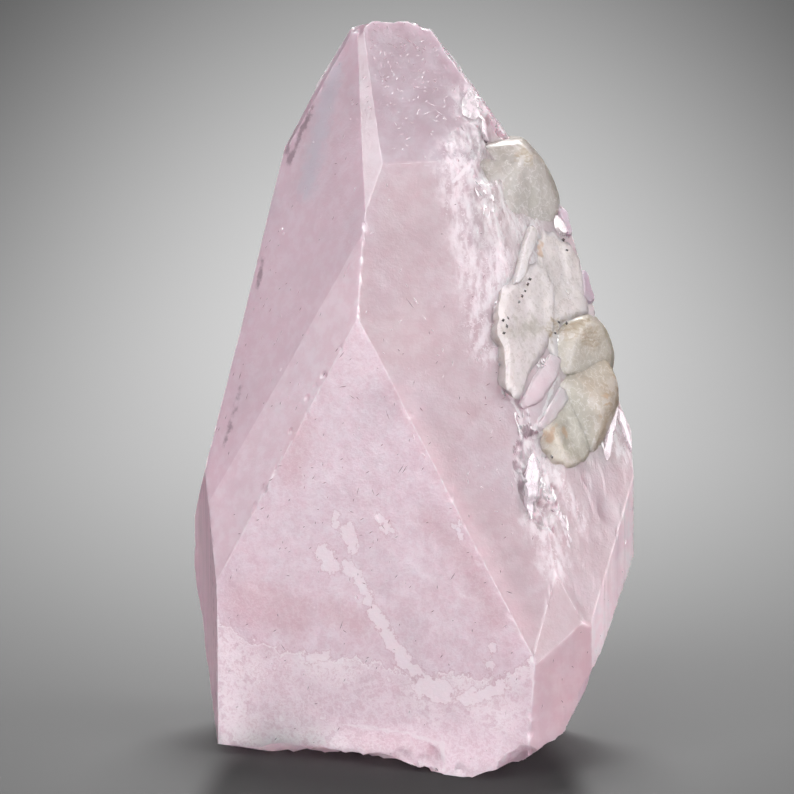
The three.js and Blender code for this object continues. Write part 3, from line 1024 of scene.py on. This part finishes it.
# ---------------------------------------------------------------------------
# Plates on the breaks: the quartz lens, its white blade and the quartz round it, panes
# of clear pink beryl, white cleavage chips and mauve slivers. Each is a low dome with
# a cut outline that lies on the crystal's skin, its rim sunk in.
# ---------------------------------------------------------------------------
# the face it lies on, how high it stands there and how wide its bevel is, in mm, its
# finish, its tone, and its outline seen from the front as (x, z) in mm
PLATES = {
    "quartz_lens": ("broken_flank", 0.3, 1.2, "quartz", (0.54, 0.48, 0.485), (
        (13.3, 64.0), (15.8, 66.0), (17.9, 65.8), (19.3, 62.0), (19.3, 57.0), (17.7, 54.4),
        (15.6, 52.2), (14.2, 48.9), (12.5, 50.2), (12.2, 55.4), (11.3, 57.4), (11.5, 61.1),
        (12.1, 63.5))),
    "white_blade": ("broken_flank", 0.7, 0.7, "quartz", (0.58, 0.54, 0.55), (
        (15.7, 70.9), (16.5, 70.5), (16.4, 68.7), (15.5, 66.0), (14.1, 63.3), (13.1, 63.2),
        (13.9, 66.2), (14.7, 68.9))),
    "pink_pane_upper": ("broken_flank", 0.3, 0.6, "beryl", (0.62, 0.48, 0.53), (
        (18.4, 54.3), (20.0, 53.5), (19.2, 50.7), (17.1, 48.3), (14.7, 47.5), (14.3, 48.5),
        (16.1, 51.4))),
    "pink_pane_lower": ("broken_flank", 0.3, 0.5, "beryl", (0.62, 0.48, 0.53), (
        (19.7, 49.9), (21.5, 49.4), (20.6, 47.7), (19.0, 45.7), (16.9, 44.5), (16.5, 45.5),
        (18.0, 47.4))),
    "cream_plate": ("broken_flank", 0.25, 1.0, "quartz", (0.48, 0.435, 0.43), (
        (17.4, 69.9), (19.5, 69.4), (21.4, 67.7), (22.8, 65.2), (23.8, 60.7), (24.1, 58.7),
        (21.9, 58.2), (19.8, 57.9), (19.2, 55.1), (19.2, 52.6), (18.4, 54.3), (17.5, 57.2),
        (16.8, 61.1), (16.6, 64.9), (16.8, 67.7))),
    "quartz_skirt": ("broken_flank", 0.25, 0.7, "quartz", (0.46, 0.40, 0.325), (
        (20.1, 49.5), (18.7, 47.3), (17.2, 45.2), (17.4, 43.0), (18.7, 40.5), (20.7, 39.6),
        (23.1, 39.9), (24.2, 41.7), (23.4, 45.2), (21.8, 48.4))),
    "white_spike_left": ("broken_flank", 0.35, 0.5, "veil", (0.50, 0.44, 0.47), (
        (27.0, 46.6), (27.8, 46.9), (27.6, 43.8), (26.9, 42.0), (26.3, 39.4), (25.7, 41.0),
        (26.3, 43.4))),
    "white_spike_right": ("broken_flank", 0.35, 0.5, "veil", (0.50, 0.44, 0.47), (
        (27.8, 46.3), (28.7, 45.1), (29.6, 41.6), (29.6, 40.0), (29.0, 41.5), (27.9, 44.4))),
    "white_feather": ("broken_flank", 0.2, 0.8, "veil", (0.42, 0.37, 0.40), (
        (16.6, 42.4), (17.6, 39.8), (17.2, 37.4), (16.2, 33.9), (15.8, 36.4), (15.7, 39.1),
        (16.0, 41.3))),
    "white_wedge": ("broken_flank", 0.5, 0.4, "veil", (0.50, 0.45, 0.46), (
        (19.2, 72.0), (20.5, 70.6), (20.9, 68.8), (20.0, 68.9), (19.2, 70.0))),
    "mauve_sliver_upper": ("broken_flank", 0.35, 0.4, "beryl", (0.48, 0.36, 0.44), (
        (19.6, 72.8), (20.9, 72.3), (21.7, 68.8), (20.9, 68.5), (20.2, 70.7))),
    "mauve_sliver_lower": ("broken_flank", 0.3, 0.4, "beryl", (0.46, 0.34, 0.42), (
        (22.8, 64.1), (23.9, 64.1), (24.8, 60.1), (24.0, 59.5), (22.9, 60.6))),
    "neck_chip": ("upper_right", 0.2, 0.9, "veil", (0.30, 0.27, 0.285), (
        (8.0, 88.8), (9.0, 86.9), (9.3, 85.3), (8.5, 84.7), (6.8, 85.3), (6.8, 87.2))),
    "neck_knob": ("upper_right", 0.5, 0.8, "veil", (0.42, 0.37, 0.39), (
        (9.4, 84.8), (10.4, 84.7), (11.3, 83.6), (11.0, 82.1), (9.9, 82.5))),
}
PLATE_SUNK = 2.2 * MM
PLATE_STEP = 0.3 * MM
RIM_CELL = 0.9 * MM
RIM_RAGGEDNESS = 0.05         # of the plate's own half width
WALL_INSET = 0.15             # the same, at the foot of the rim's wall
RIPPLE_CELL = 3 * MM
RIPPLE_HEIGHT = 0.06 * MM
SHIFT_REACH = 0.6 * MM
PANE_CLOUD = 0.08             # how far a beryl plate's tone wanders, by the tone


def skin_shift(face, places):
    """How far wear has moved a face's skin near each place: the mean of its points'
    shifts, each weighted by exp(-(distance / reach) ** 2)."""
    low, high = places.min(0) - 2 * MM, places.max(0) + 2 * MM
    close = ((whole_skin > low) & (whole_skin < high)).all(1)
    own = np.flatnonzero(on_faces(of_point, [face]) & close)
    skin = whole_skin[own]
    squares = (places ** 2).sum(1)[:, None] + (skin ** 2).sum(1) - 2 * places @ skin.T
    squares -= squares.min(1)[:, None]
    weights = np.exp(-squares / SHIFT_REACH ** 2)
    return weights @ (points[own] - skin) / weights.sum(1)[:, None]


def on_plane(face, flat):
    """Where points given in mm as (x, z) lie on a face's plane: y is what makes
    normal . (point - heart) the face's distance."""
    normal = facing_of(face)
    flat = np.array(flat) * MM
    level = BERYL_FACES[face][2] * MM - (flat - HEART[[0, 2]]) @ normal[[0, 2]]
    return np.stack([flat[:, 0], HEART[1] + level / normal[1], flat[:, 1]], 1)


def plate_skin(outline, face, crown, bevel):
    """A low dome on a beryl face: point (u, v) is the middle plus v times the way to
    the outline's point u, raised by crown * (1 - (1 - d / bevel) ** 2), d being its
    distance in from the rim. The rim's corners are rounded and its line made ragged by
    a noise. Its wall slants in, and the back is closed to a point. Returns points,
    triangles and each point's distance in from the rim in mm."""
    normal = facing_of(face)
    stops = on_plane(face, outline)
    rim = []
    for a, b in zip(stops, np.roll(stops, -1, 0)):
        count = max(2, int(np.linalg.norm(b - a) / PLATE_STEP))
        rim.append(a + (b - a) * (np.arange(count) / count)[:, None])
    rim = np.concatenate(rim)
    for _ in range(2):
        rim = (np.roll(rim, 1, 0) + 2 * rim + np.roll(rim, -1, 0)) / 4
    middle = rim.mean(0)
    wander = lattice_noise(rim, RIM_CELL, seed=81)[:, None]
    rim = rim + (rim - middle) * RIM_RAGGEDNESS * wander
    way = rim - middle
    n = len(rim)
    rounds = max(4, int(np.linalg.norm(way, axis=1).mean() / PLATE_STEP))
    v = 1 - np.arange(rounds) / rounds
    inset = (1 - v)[:, None] * np.linalg.norm(way, axis=1)[None]
    raised = crown * (1 - np.clip(1 - inset / bevel, 0, 1) ** 2)
    dome = middle + v[:, None, None] * way[None] + raised[..., None] * normal
    wall = rim - normal * PLATE_SUNK - way * WALL_INSET
    top = middle + normal * crown
    back = middle - normal * PLATE_SUNK
    corners = np.concatenate([dome.reshape(-1, 3), wall, [top, back]])
    i = np.arange(n)
    j = (i + 1) % n
    foot = n * rounds
    innermost = foot - n
    triangles = [sides(i, foot + i, foot + j), sides(i, foot + j, j)]
    for a in range(0, innermost, n):
        b = a + n
        triangles += [sides(a + i, a + j, b + j), sides(a + i, b + j, b + i)]
    triangles.append(sides(innermost + i, innermost + j, len(corners) - 2))
    triangles.append(sides(foot + j, foot + i, len(corners) - 1))
    triangles = np.concatenate(triangles)
    a, b, c = (corners[triangles[:, k]] - middle for k in range(3))
    if (np.cross(a, b) * c).sum() < 0:
        triangles = triangles[:, ::-1]
    inset = np.concatenate([inset.ravel(), np.zeros(n), [inset.max(), 0]])
    return corners, triangles, inset / MM


white, tree, place = new_material("white_cleavage")
tone = attribute(tree, "tone", "Color")
streaks = placed(tree, CLOUD, {
    "Place": vector_of(tree, "MULTIPLY", place, (1.4, 1.4, 0.4)), "Cell": 0.9,
    "Empty below": 0.42, "Full above": 0.62, "Detail": 4.0})
tone = laid(tree, tone, streaks, 0.4, (0.50, 0.40, 0.45))
rough = worked_out(tree, "MULTIPLY_ADD", streaks, 0.2, 0.2)
grain = node_of(tree, "TexNoise", {"Vector": place, "Scale": 3.0, "Detail": 4.0}).outputs[0]
bump = node_of(tree, "Bump", {"Strength": 0.5, "Distance": 0.1 * MM, "Height": grain})
fed(tree, tree.nodes["Principled BSDF"], {
    "IOR": BERYL_IOR, "Transmission Weight": 0.5, "Base Color": tone, "Roughness": rough,
    "Normal": bump.outputs["Normal"]})


def finish_beryl(piece, points, tone, edge_distance):
    """Stores what the beryl's material reads on a small piece, and joins it on: it is
    lightly etched and chipped, and bears no markings."""
    cloudy = layered_noise(points, 5 * MM, layers=3, seed=91)[:, None] * PANE_CLOUD
    store(piece, "tone", "POINT", np.clip(np.array(tone) * (1 + cloudy), 0, 1))
    store(piece, "edge_distance", "POINT", edge_distance)
    values = {"etch": 0.7, "chipped": 0.2, "front": 0, "striated": 0, "frosted": FAR_OFF}
    values.update(dict.fromkeys(BERYL_MARKINGS, FAR_OFF))
    for name, value in values.items():
        store(piece, name, "POINT", np.full(len(points), value))
    join_on(piece)


for name, (face, crown, bevel, finish, tone, outline) in PLATES.items():
    still, plate_triangles, inset = plate_skin(outline, face, crown * MM, bevel * MM)
    normal = facing_of(face)
    ripple = layered_noise(still, RIPPLE_CELL, layers=2, seed=101) * RIPPLE_HEIGHT
    ripple *= np.clip(inset / 0.5, 0, 1)
    plate_points = still + skin_shift(face, still) + normal * ripple[:, None]
    material = {"quartz": quartz, "beryl": beryl, "veil": white}[finish]
    plate = mesh_object(name, plate_points, plate_triangles, material)
    if finish == "quartz":
        finish_quartz(plate, still, tone, inset)
    elif finish == "beryl":
        finish_beryl(plate, still, tone, inset)
    else:
        store(plate, "tone", "POINT", np.tile(tone, (len(still), 1)))
        join_on(plate)


# ---------------------------------------------------------------------------
# White flakes: over a hundred small angular slivers of cracked beryl that stand in
# the flank, in rows along its cracks. Each is a stretched eight-sided grain, half sunk.
# ---------------------------------------------------------------------------
# how many, then the strokes of skin they stand on: half width and points, in mm
FLAKE_ROWS = (
    (18, (1.0, (19.5, 0.5, 69.5), (21.5, -1.0, 61.5))),
    (26, (0.7, (11.4, -9.6, 62.5), (11.6, -11.2, 56.0), (12.8, -13.2, 49.0))),
    (22, (1.0, (14.4, -14.2, 46.5), (16.8, -14.6, 41.7), (16.2, -19.0, 35.0))),
    (22, (0.7, (17.5, -15.5, 38.6), (21.1, -15.5, 30.6))),
    (18, (0.8, (8.2, 1.4, 88.0), (9.6, -1.1, 84.5))),
    (9, (1.2, (8.3, -4.0, 79.1), (9.8, -5.3, 73.5))),
    (14, (0.9, (25.4, -5.5, 41.5), (28.2, -2.0, 44.5))),
    (8, (0.8, (17.2, -9.0, 52.5), (19.8, -7.0, 55.0))),
)
FLAKE_LENGTHS = (0.3, 1.1)     # half sizes, least and most, in mm
FLAKE_BREADTHS = (0.1, 0.3)
FLAKE_HEIGHTS = (0.1, 0.25)
FLAKE_TONES = (0.42, 0.58)
FLAKE_TINT = (1.0, 0.96, 0.98)
FLANK_GRAIN = (-0.3, 0.2, 0.9)     # the way that splinters in the flank lie
GRAIN_CORNERS = np.array([(1, 0, 0), (-1, 0, 0), (0, 1, 0), (0, -1, 0), (0, 0, 1), (0, 0, -1)])
GRAIN_SIDES = np.array([(0, 2, 4), (2, 1, 4), (1, 3, 4), (3, 0, 4),
                        (2, 0, 5), (1, 2, 5), (3, 1, 5), (0, 3, 5)])


def grains(places, facings, alongs, sizes):
    """Many eight-sided grains at once: the corners of one are scaled by its three half
    sizes along its own length, breadth and facing, and set at its place."""
    breadths = np.cross(facings, alongs)
    breadths /= np.linalg.norm(breadths, axis=1)[:, None]
    lengths = np.cross(breadths, facings)
    frames = np.stack([lengths, breadths, facings], 1) * sizes[..., None]
    points = (places[:, None] + GRAIN_CORNERS @ frames).reshape(-1, 3)
    start = len(GRAIN_CORNERS) * np.arange(len(places))
    triangles = GRAIN_SIDES[None] + start[:, None, None]
    return points, triangles.reshape(-1, 3)


spots, facings = [], []
for count, stroke in FLAKE_ROWS:
    near_row = np.flatnonzero(outline_distance(whole_skin, (stroke,)) < 0)
    chosen = rng.choice(near_row, count)
    spots.append(points[chosen])
    facings.append(normals[of_point[chosen]])
spots, facings = np.concatenate(spots), np.concatenate(facings)
facings = facings + rng.normal(0, 0.35, facings.shape)
facings /= np.linalg.norm(facings, axis=1)[:, None]
alongs = np.array(FLANK_GRAIN) + rng.normal(0, 0.35, facings.shape)
sizes = np.stack([rng.uniform(*limits, len(spots)) for limits in (
    FLAKE_LENGTHS, FLAKE_BREADTHS, FLAKE_HEIGHTS)], 1) * MM
flake_points, flake_triangles = grains(spots, facings, alongs, sizes)
flakes = mesh_object("white_flakes", flake_points, flake_triangles, white)
flake_tones = rng.uniform(*FLAKE_TONES, len(spots))[:, None] * FLAKE_TINT
store(flakes, "tone", "POINT", np.repeat(flake_tones, len(GRAIN_CORNERS), 0))
join_on(flakes)


# ---------------------------------------------------------------------------
# Dark specks: a row of tiny black grains across the quartz lens, and a few loose
# ones beside it, each half sunk in what it lies on.
# ---------------------------------------------------------------------------
SPECK_PLACES = np.array([
    (14.2, -9.2, 61.3), (14.6, -8.4, 62.0), (15.0, -7.6, 62.6), (15.4, -6.7, 63.4),
    (15.7, -6.1, 64.0), (12.0, -12.6, 59.3), (12.5, -12.4, 58.5), (12.1, -13.3, 57.7),
    (12.7, -11.8, 59.5), (19.6, -4.7, 58.1), (20.7, -3.6, 57.8), (19.1, -6.0, 56.8),
    (18.4, -14.4, 41.5), (20.4, 1.3, 68.5), (20.9, 1.2, 67.1)]) * MM
SPECK_HALF_SIZE = 0.2 * MM
SPECK_STRETCH = (1.3, 1, 1.4)
SPECK_TONE = (0.012, 0.01, 0.01)

dark_mineral, tree, place = new_material("dark_mineral")
mottle = placed(tree, CLOUD, {"Place": place, "Cell": 0.3, "Empty below": 0.4,
                              "Full above": 0.6})
tone = laid(tree, attribute(tree, "tone", "Color"), mottle, 0.3, (0.12, 0.09, 0.09))
fed(tree, tree.nodes["Principled BSDF"], {"Base Color": tone, "Roughness": 0.4})

flank = np.tile(facing_of("broken_flank"), (len(SPECK_PLACES), 1))
speck_alongs = np.array(FLANK_GRAIN) + rng.normal(0, 0.3, flank.shape)
speck_sizes = SPECK_HALF_SIZE * rng.uniform(0.8, 1.3, (len(SPECK_PLACES), 3)) * SPECK_STRETCH
speck_points, speck_triangles = grains(SPECK_PLACES, flank, speck_alongs, speck_sizes)
specks = mesh_object("dark_specks", speck_points, speck_triangles, dark_mineral)
store(specks, "tone", "POINT", np.tile(SPECK_TONE, (len(speck_points), 1)))
join_on(specks)


# ---------------------------------------------------------------------------
# Etch marks: hair-thin dashes in the grown faces, dark where they are open and white
# where they are healed. Most lean to the right. Each is a needle grain, half sunk.
# ---------------------------------------------------------------------------
# by face and finish: (x, z, half length, lean to the right in degrees), in mm
ETCH_MARKS = {
    ("front", "dark"): (
        (-9.1, 54.7, 0.65, 40), (-9.8, 55.3, 0.39, 40), (-11.5, 52.0, 0.39, 30),
        (-9.0, 50.5, 0.65, 80), (-7.8, 49.2, 0.52, -60), (-7.1, 49.1, 0.39, -50),
        (-3.2, 47.1, 0.91, -22), (-11.6, 44.0, 0.26, 20), (-17.4, 39.5, 0.39, 80),
        (-14.7, 39.4, 0.26, 90), (-13.1, 39.5, 0.26, 90), (-11.7, 40.0, 0.39, 0),
        (-5.7, 39.4, 0.39, 60), (-1.4, 40.0, 0.78, 35), (-0.9, 40.0, 0.78, 35),
        (-14.1, 38.4, 0.26, -30), (-12.9, 38.2, 0.39, 40), (-11.4, 37.6, 0.39, 70),
        (-18.6, 37.6, 0.39, 60), (-7.0, 36.7, 0.78, 15), (-5.0, 36.8, 0.52, -20),
        (-4.4, 36.5, 0.39, 50), (-17.0, 29.4, 0.26, 0), (-17.4, 28.5, 0.26, 40),
        (-16.6, 28.6, 0.26, 60), (-4.9, 30.1, 0.39, 0), (-5.3, 29.4, 0.26, 60),
        (-7.0, 25.7, 0.26, 0), (-1.9, 25.8, 0.39, 40), (5.5, 26.4, 0.78, 35),
        (8.0, 29.1, 0.26, 0), (-9.3, 18.7, 0.91, 20), (-8.8, 18.0, 0.39, -60),
        (-5.2, 21.5, 0.26, 0), (-17.1, 15.2, 0.65, -40), (2.8, 21.6, 0.26, 60),
        (-16.1, 35.1, 0.26, 40), (-19.8, 33.7, 0.39, 60), (-19.0, 32.7, 0.39, 30),
        (-20.4, 32.1, 0.26, 70), (-6.4, 33.1, 0.39, 60), (-3.6, 32.2, 0.52, -40),
        (-2.8, 33.0, 0.39, 30), (-7.8, 34.0, 0.39, -70), (-5.2, 31.4, 0.39, 60)),
    ("shoulder_right", "dark"): (
        (2.4, 57.6, 0.26, 0), (6.3, 49.3, 0.26, 0), (7.4, 47.3, 0.39, -40),
        (12.8, 24.7, 0.52, -70), (7.6, 34.3, 0.26, 0), (-0.1, 61.4, 1.04, -33),
        (-3.6, 56.8, 0.26, 0), (12.1, 49.1, 0.39, 60), (4.4, 60.9, 0.26, 20)),
    ("shoulder_right", "white"): (
        (5.4, 53.7, 0.52, 5), (4.1, 55.4, 0.52, 5), (9.2, 37.9, 0.52, -55),
        (13.2, 38.1, 0.78, -10), (13.9, 36.4, 0.52, -10), (11.4, 39.6, 0.39, -10),
        (7.4, 38.7, 0.52, -10), (9.0, 62.5, 0.52, 40), (8.8, 70.6, 0.52, 0),
        (-0.5, 63.7, 0.39, -30), (0.6, 61.8, 0.78, -33), (1.8, 59.5, 0.65, -33),
        (2.8, 57.9, 0.39, -33), (0.3, 44.5, 0.52, -20), (1.6, 42.2, 0.52, -30)),
    ("upper_right", "white"): (
        (2.9, 86.7, 0.65, -60), (3.8, 85.7, 0.78, -50), (2.2, 85.7, 0.65, 60),
        (3.4, 84.7, 0.65, -70), (-0.4, 82.5, 0.52, 50), (1.6, 90.1, 0.39, 10),
        (-3.0, 90.2, 0.39, 50), (-3.2, 89.0, 0.52, 70), (4.5, 87.2, 0.52, 0)),
    ("upper_right", "dark"): (
        (-2.9, 94.4, 0.52, -55), (-2.2, 94.1, 0.78, -50), (-1.6, 95.4, 0.52, -60),
        (-0.4, 94.9, 0.65, -40), (0.5, 94.3, 0.52, -30), (-1.2, 94.0, 0.39, -50),
        (-2.5, 93.1, 0.39, -40), (6.5, 79.9, 0.26, 0), (1.8, 93.7, 0.39, -50)),
    ("shoulder_left", "dark"): (
        (-14.2, 75.2, 0.26, 0), (-8.6, 79.7, 0.26, 20), (-19.0, 59.0, 0.39, 30),
        (-18.0, 55.4, 0.52, 10), (-15.1, 61.8, 0.39, 20), (-16.2, 62.0, 0.26, 0),
        (-24.5, 39.9, 0.26, 0), (-22.1, 47.5, 0.52, 10), (-23.1, 50.0, 0.65, 10),
        (-25.0, 44.3, 0.39, 10), (-20.1, 55.5, 0.39, 0), (-16.0, 72.7, 0.26, 30)),
}
# how many more are strewn over each face, and the lowest and highest of them in mm
STREWN_MARKS = {
    ("front", "dark"): (60, 0, 70), ("front", "white"): (40, 0, 70),
    ("shoulder_right", "dark"): (26, 0, 80), ("shoulder_right", "white"): (40, 0, 80),
    ("upper_right", "dark"): (46, 88, 99), ("upper_right", "white"): (60, 80, 99),
    ("shoulder_left", "dark"): (30, 0, 99), ("shoulder_left", "white"): (14, 0, 99),
    ("band", "dark"): (12, 0, 99), ("ridge", "dark"): (8, 86, 99),
    ("right_prism", "white"): (10, 0, 99), ("right_front", "dark"): (8, 0, 99),
}
STREWN_HALF_LENGTHS = (0.1, 0.4)     # least and most, in mm
STREWN_LEAN = (30, 40)               # middle and spread, in degrees
EDGE_MARGIN = 0.4 * MM
MARK_HALF_BREADTH = 0.055 * MM
# each finish's material, tone and slot
MARK_FINISHES = {
    "dark": (dark_mineral, (0.20, 0.13, 0.15), "morganite"),
    "white": (white, (0.62, 0.58, 0.60), "veil"),
}

for finish, (material, mark_tone, slot) in MARK_FINISHES.items():
    places, facings, alongs, halves = [], [], [], []
    for face in FACE_NAMES:
        table = np.array(ETCH_MARKS.get((face, finish), np.zeros((0, 4))), float)
        count, low, high = STREWN_MARKS.get((face, finish), (0, 0, 99))
        level = whole_skin[:, 2] / MM
        clear = (near > EDGE_MARGIN) & (level > low) & (level < high)
        chosen = rng.choice(np.flatnonzero(on_faces(of_point, [face]) & clear), count)
        jitter = rng.uniform(-0.2, 0.2, (len(chosen), 2))
        strewn = np.column_stack([whole_skin[chosen][:, [0, 2]] / MM + jitter,
                                  rng.uniform(*STREWN_HALF_LENGTHS, len(chosen)),
                                  rng.normal(*STREWN_LEAN, len(chosen))])
        table = np.concatenate([table, strewn])
        if len(table) == 0:
            continue
        meets = on_plane(face, table[:, :2])
        lean = np.radians(table[:, 3])
        places.append(meets + skin_shift(face, meets))
        facings.append(np.tile(facing_of(face), (len(table), 1)))
        alongs.append(np.stack([np.sin(lean), 0 * lean, np.cos(lean)], 1))
        halves.append(table[:, 2])
    halves = np.concatenate(halves)
    sizes = np.stack([halves * MM, *np.tile(MARK_HALF_BREADTH, (2, len(halves)))], 1)
    mark_points, mark_triangles = grains(
        *(np.concatenate(values) for values in (places, facings, alongs)), sizes)
    marks = mesh_object(finish + "_etch_marks", mark_points, mark_triangles, material)
    store(marks, "tone", "POINT", np.tile(mark_tone, (len(mark_points), 1)))
    join_on(marks)


# ---------------------------------------------------------------------------
# The stage: a sheet of grey paper, floor and backdrop in one, with a painted pool of
# light behind the crystal and a painted shadow before its foot; three soft lamps; and
# the camera, a little above level and far off.
# ---------------------------------------------------------------------------
bpy.context.scene.view_settings.view_transform = "Standard"

# the sheet's sizes, in metres
SWEEP_RADIUS = 0.6
WALL_Y = 0.9
WALL_TOP = 1.6
FLOOR_FRONT = -4.0
STAGE_HALF_WIDTH = 1.6
SWEEP_STEPS = 24


def sweep_sheet():
    """A studio sweep: the profile runs back along the floor, up a quarter circle and up
    the wall, and is carried straight from side to side. Returns points and quads."""
    turn = np.linspace(0, np.pi / 2, SWEEP_STEPS)
    bend_y = WALL_Y - SWEEP_RADIUS + SWEEP_RADIUS * np.sin(turn)
    bend_z = SWEEP_RADIUS - SWEEP_RADIUS * np.cos(turn)
    y = np.concatenate([[FLOOR_FRONT], bend_y, [WALL_Y]])
    z = np.concatenate([[0], bend_z, [WALL_TOP]])
    left = np.stack([np.full_like(y, -STAGE_HALF_WIDTH), y, z], 1)
    i = np.arange(len(y) - 1)
    quads = sides(i, i + len(y), i + len(y) + 1, i + 1)
    return np.concatenate([left, left * [-1, 1, 1]]), quads


# tones of the paper: a painted pool of light behind the crystal, painted dimming out at
# the edges, and a painted shadow before the foot
PAPER_PAINTED_LIGHT = (0.148, 0.148, 0.148)
PAPER_PAINTED_DIM = (0.0175, 0.0175, 0.0175)
PAPER_PAINTED_SHADOW = (0.011, 0.011, 0.011)
# the painted pool of light and the painted oval of shadow are round once the paper's y is
# squashed
PAINTED_LIGHT_SQUASH = (1, 0.3, 1)
PAINTED_LIGHT_MIDDLE = (0, 0.12, 0)
PAINTED_LIGHT_REACH = 0.18
PAINTED_SHADOW_SQUASH = (1, 0.32, 1)
PAINTED_SHADOW_MIDDLE = (-0.0022, -0.0144, 0)
PAINTED_SHADOW_EDGE = (0.0275, 0.0225)            # outer and inner

paper = bpy.data.materials.new("grey_paper")
paper.use_nodes = True
tree = paper.node_tree
place = node_of(tree, "TexCoord").outputs["Object"]
# a painted pool of light: the paper is lightest behind the crystal and darkens outwards
away = vector_of(tree, "MULTIPLY", place, PAINTED_LIGHT_SQUASH)
away = vector_of(tree, "DISTANCE", away, PAINTED_LIGHT_MIDDLE, output="Value")
tone = over(tree, ramped(tree, away, 0.0, PAINTED_LIGHT_REACH), PAPER_PAINTED_LIGHT, PAPER_PAINTED_DIM)
# a painted shadow: an oval of darker paper before and under the crystal's foot
before = vector_of(tree, "MULTIPLY", place, PAINTED_SHADOW_SQUASH)
before = vector_of(tree, "DISTANCE", before, PAINTED_SHADOW_MIDDLE, output="Value")
tone = over(tree, ramped(tree, before, *PAINTED_SHADOW_EDGE), tone, PAPER_PAINTED_SHADOW)
fed(tree, tree.nodes["Principled BSDF"], {
    "Base Color": tone, "Roughness": 0.8, "Specular IOR Level": 0.1})
mesh_object("backdrop", *sweep_sheet(), paper)

world = bpy.data.worlds.new("studio")
world.use_nodes = True
fed(world.node_tree, world.node_tree.nodes["Background"], {
    "Color": (1, 1, 1, 1), "Strength": 0.9})
bpy.context.scene.world = world

LAMP_AIM = (0, 0, 0.05)
# square lamps: place and side in metres, power in watts
LAMPS = {
    "key": ((-0.35, -0.7, 0.65), 0.8, 24),
    "fill": ((0.7, -0.35, 0.3), 1.0, 22),
    "top": ((0.05, 0.35, 0.75), 0.35, 18),
}
for name, (place, side, power) in LAMPS.items():
    lamp = bpy.data.lights.new(name, "AREA")
    lamp.size = side
    lamp.energy = power
    light = bpy.data.objects.new(name, lamp)
    light.location = place
    light.rotation_euler = (Vector(LAMP_AIM) - Vector(place)).to_track_quat("-Z", "Y").to_euler()
    bpy.context.scene.collection.objects.link(light)

CAMERA_RISE = 8               # degrees above level
CAMERA_DISTANCE = 0.52
CAMERA_AIM = np.array([-1.9, -8.0, 48.5]) * MM
lens = bpy.data.cameras.new("camera")
lens.lens = 178
lens.sensor_width = 36
lens.clip_end = 20
camera = bpy.data.objects.new("camera", lens)
camera.location = CAMERA_AIM + CAMERA_DISTANCE * outward(0, CAMERA_RISE)
camera.rotation_euler = (np.radians(90 - CAMERA_RISE), 0, 0)
bpy.context.scene.collection.objects.link(camera)
bpy.context.scene.camera = camera
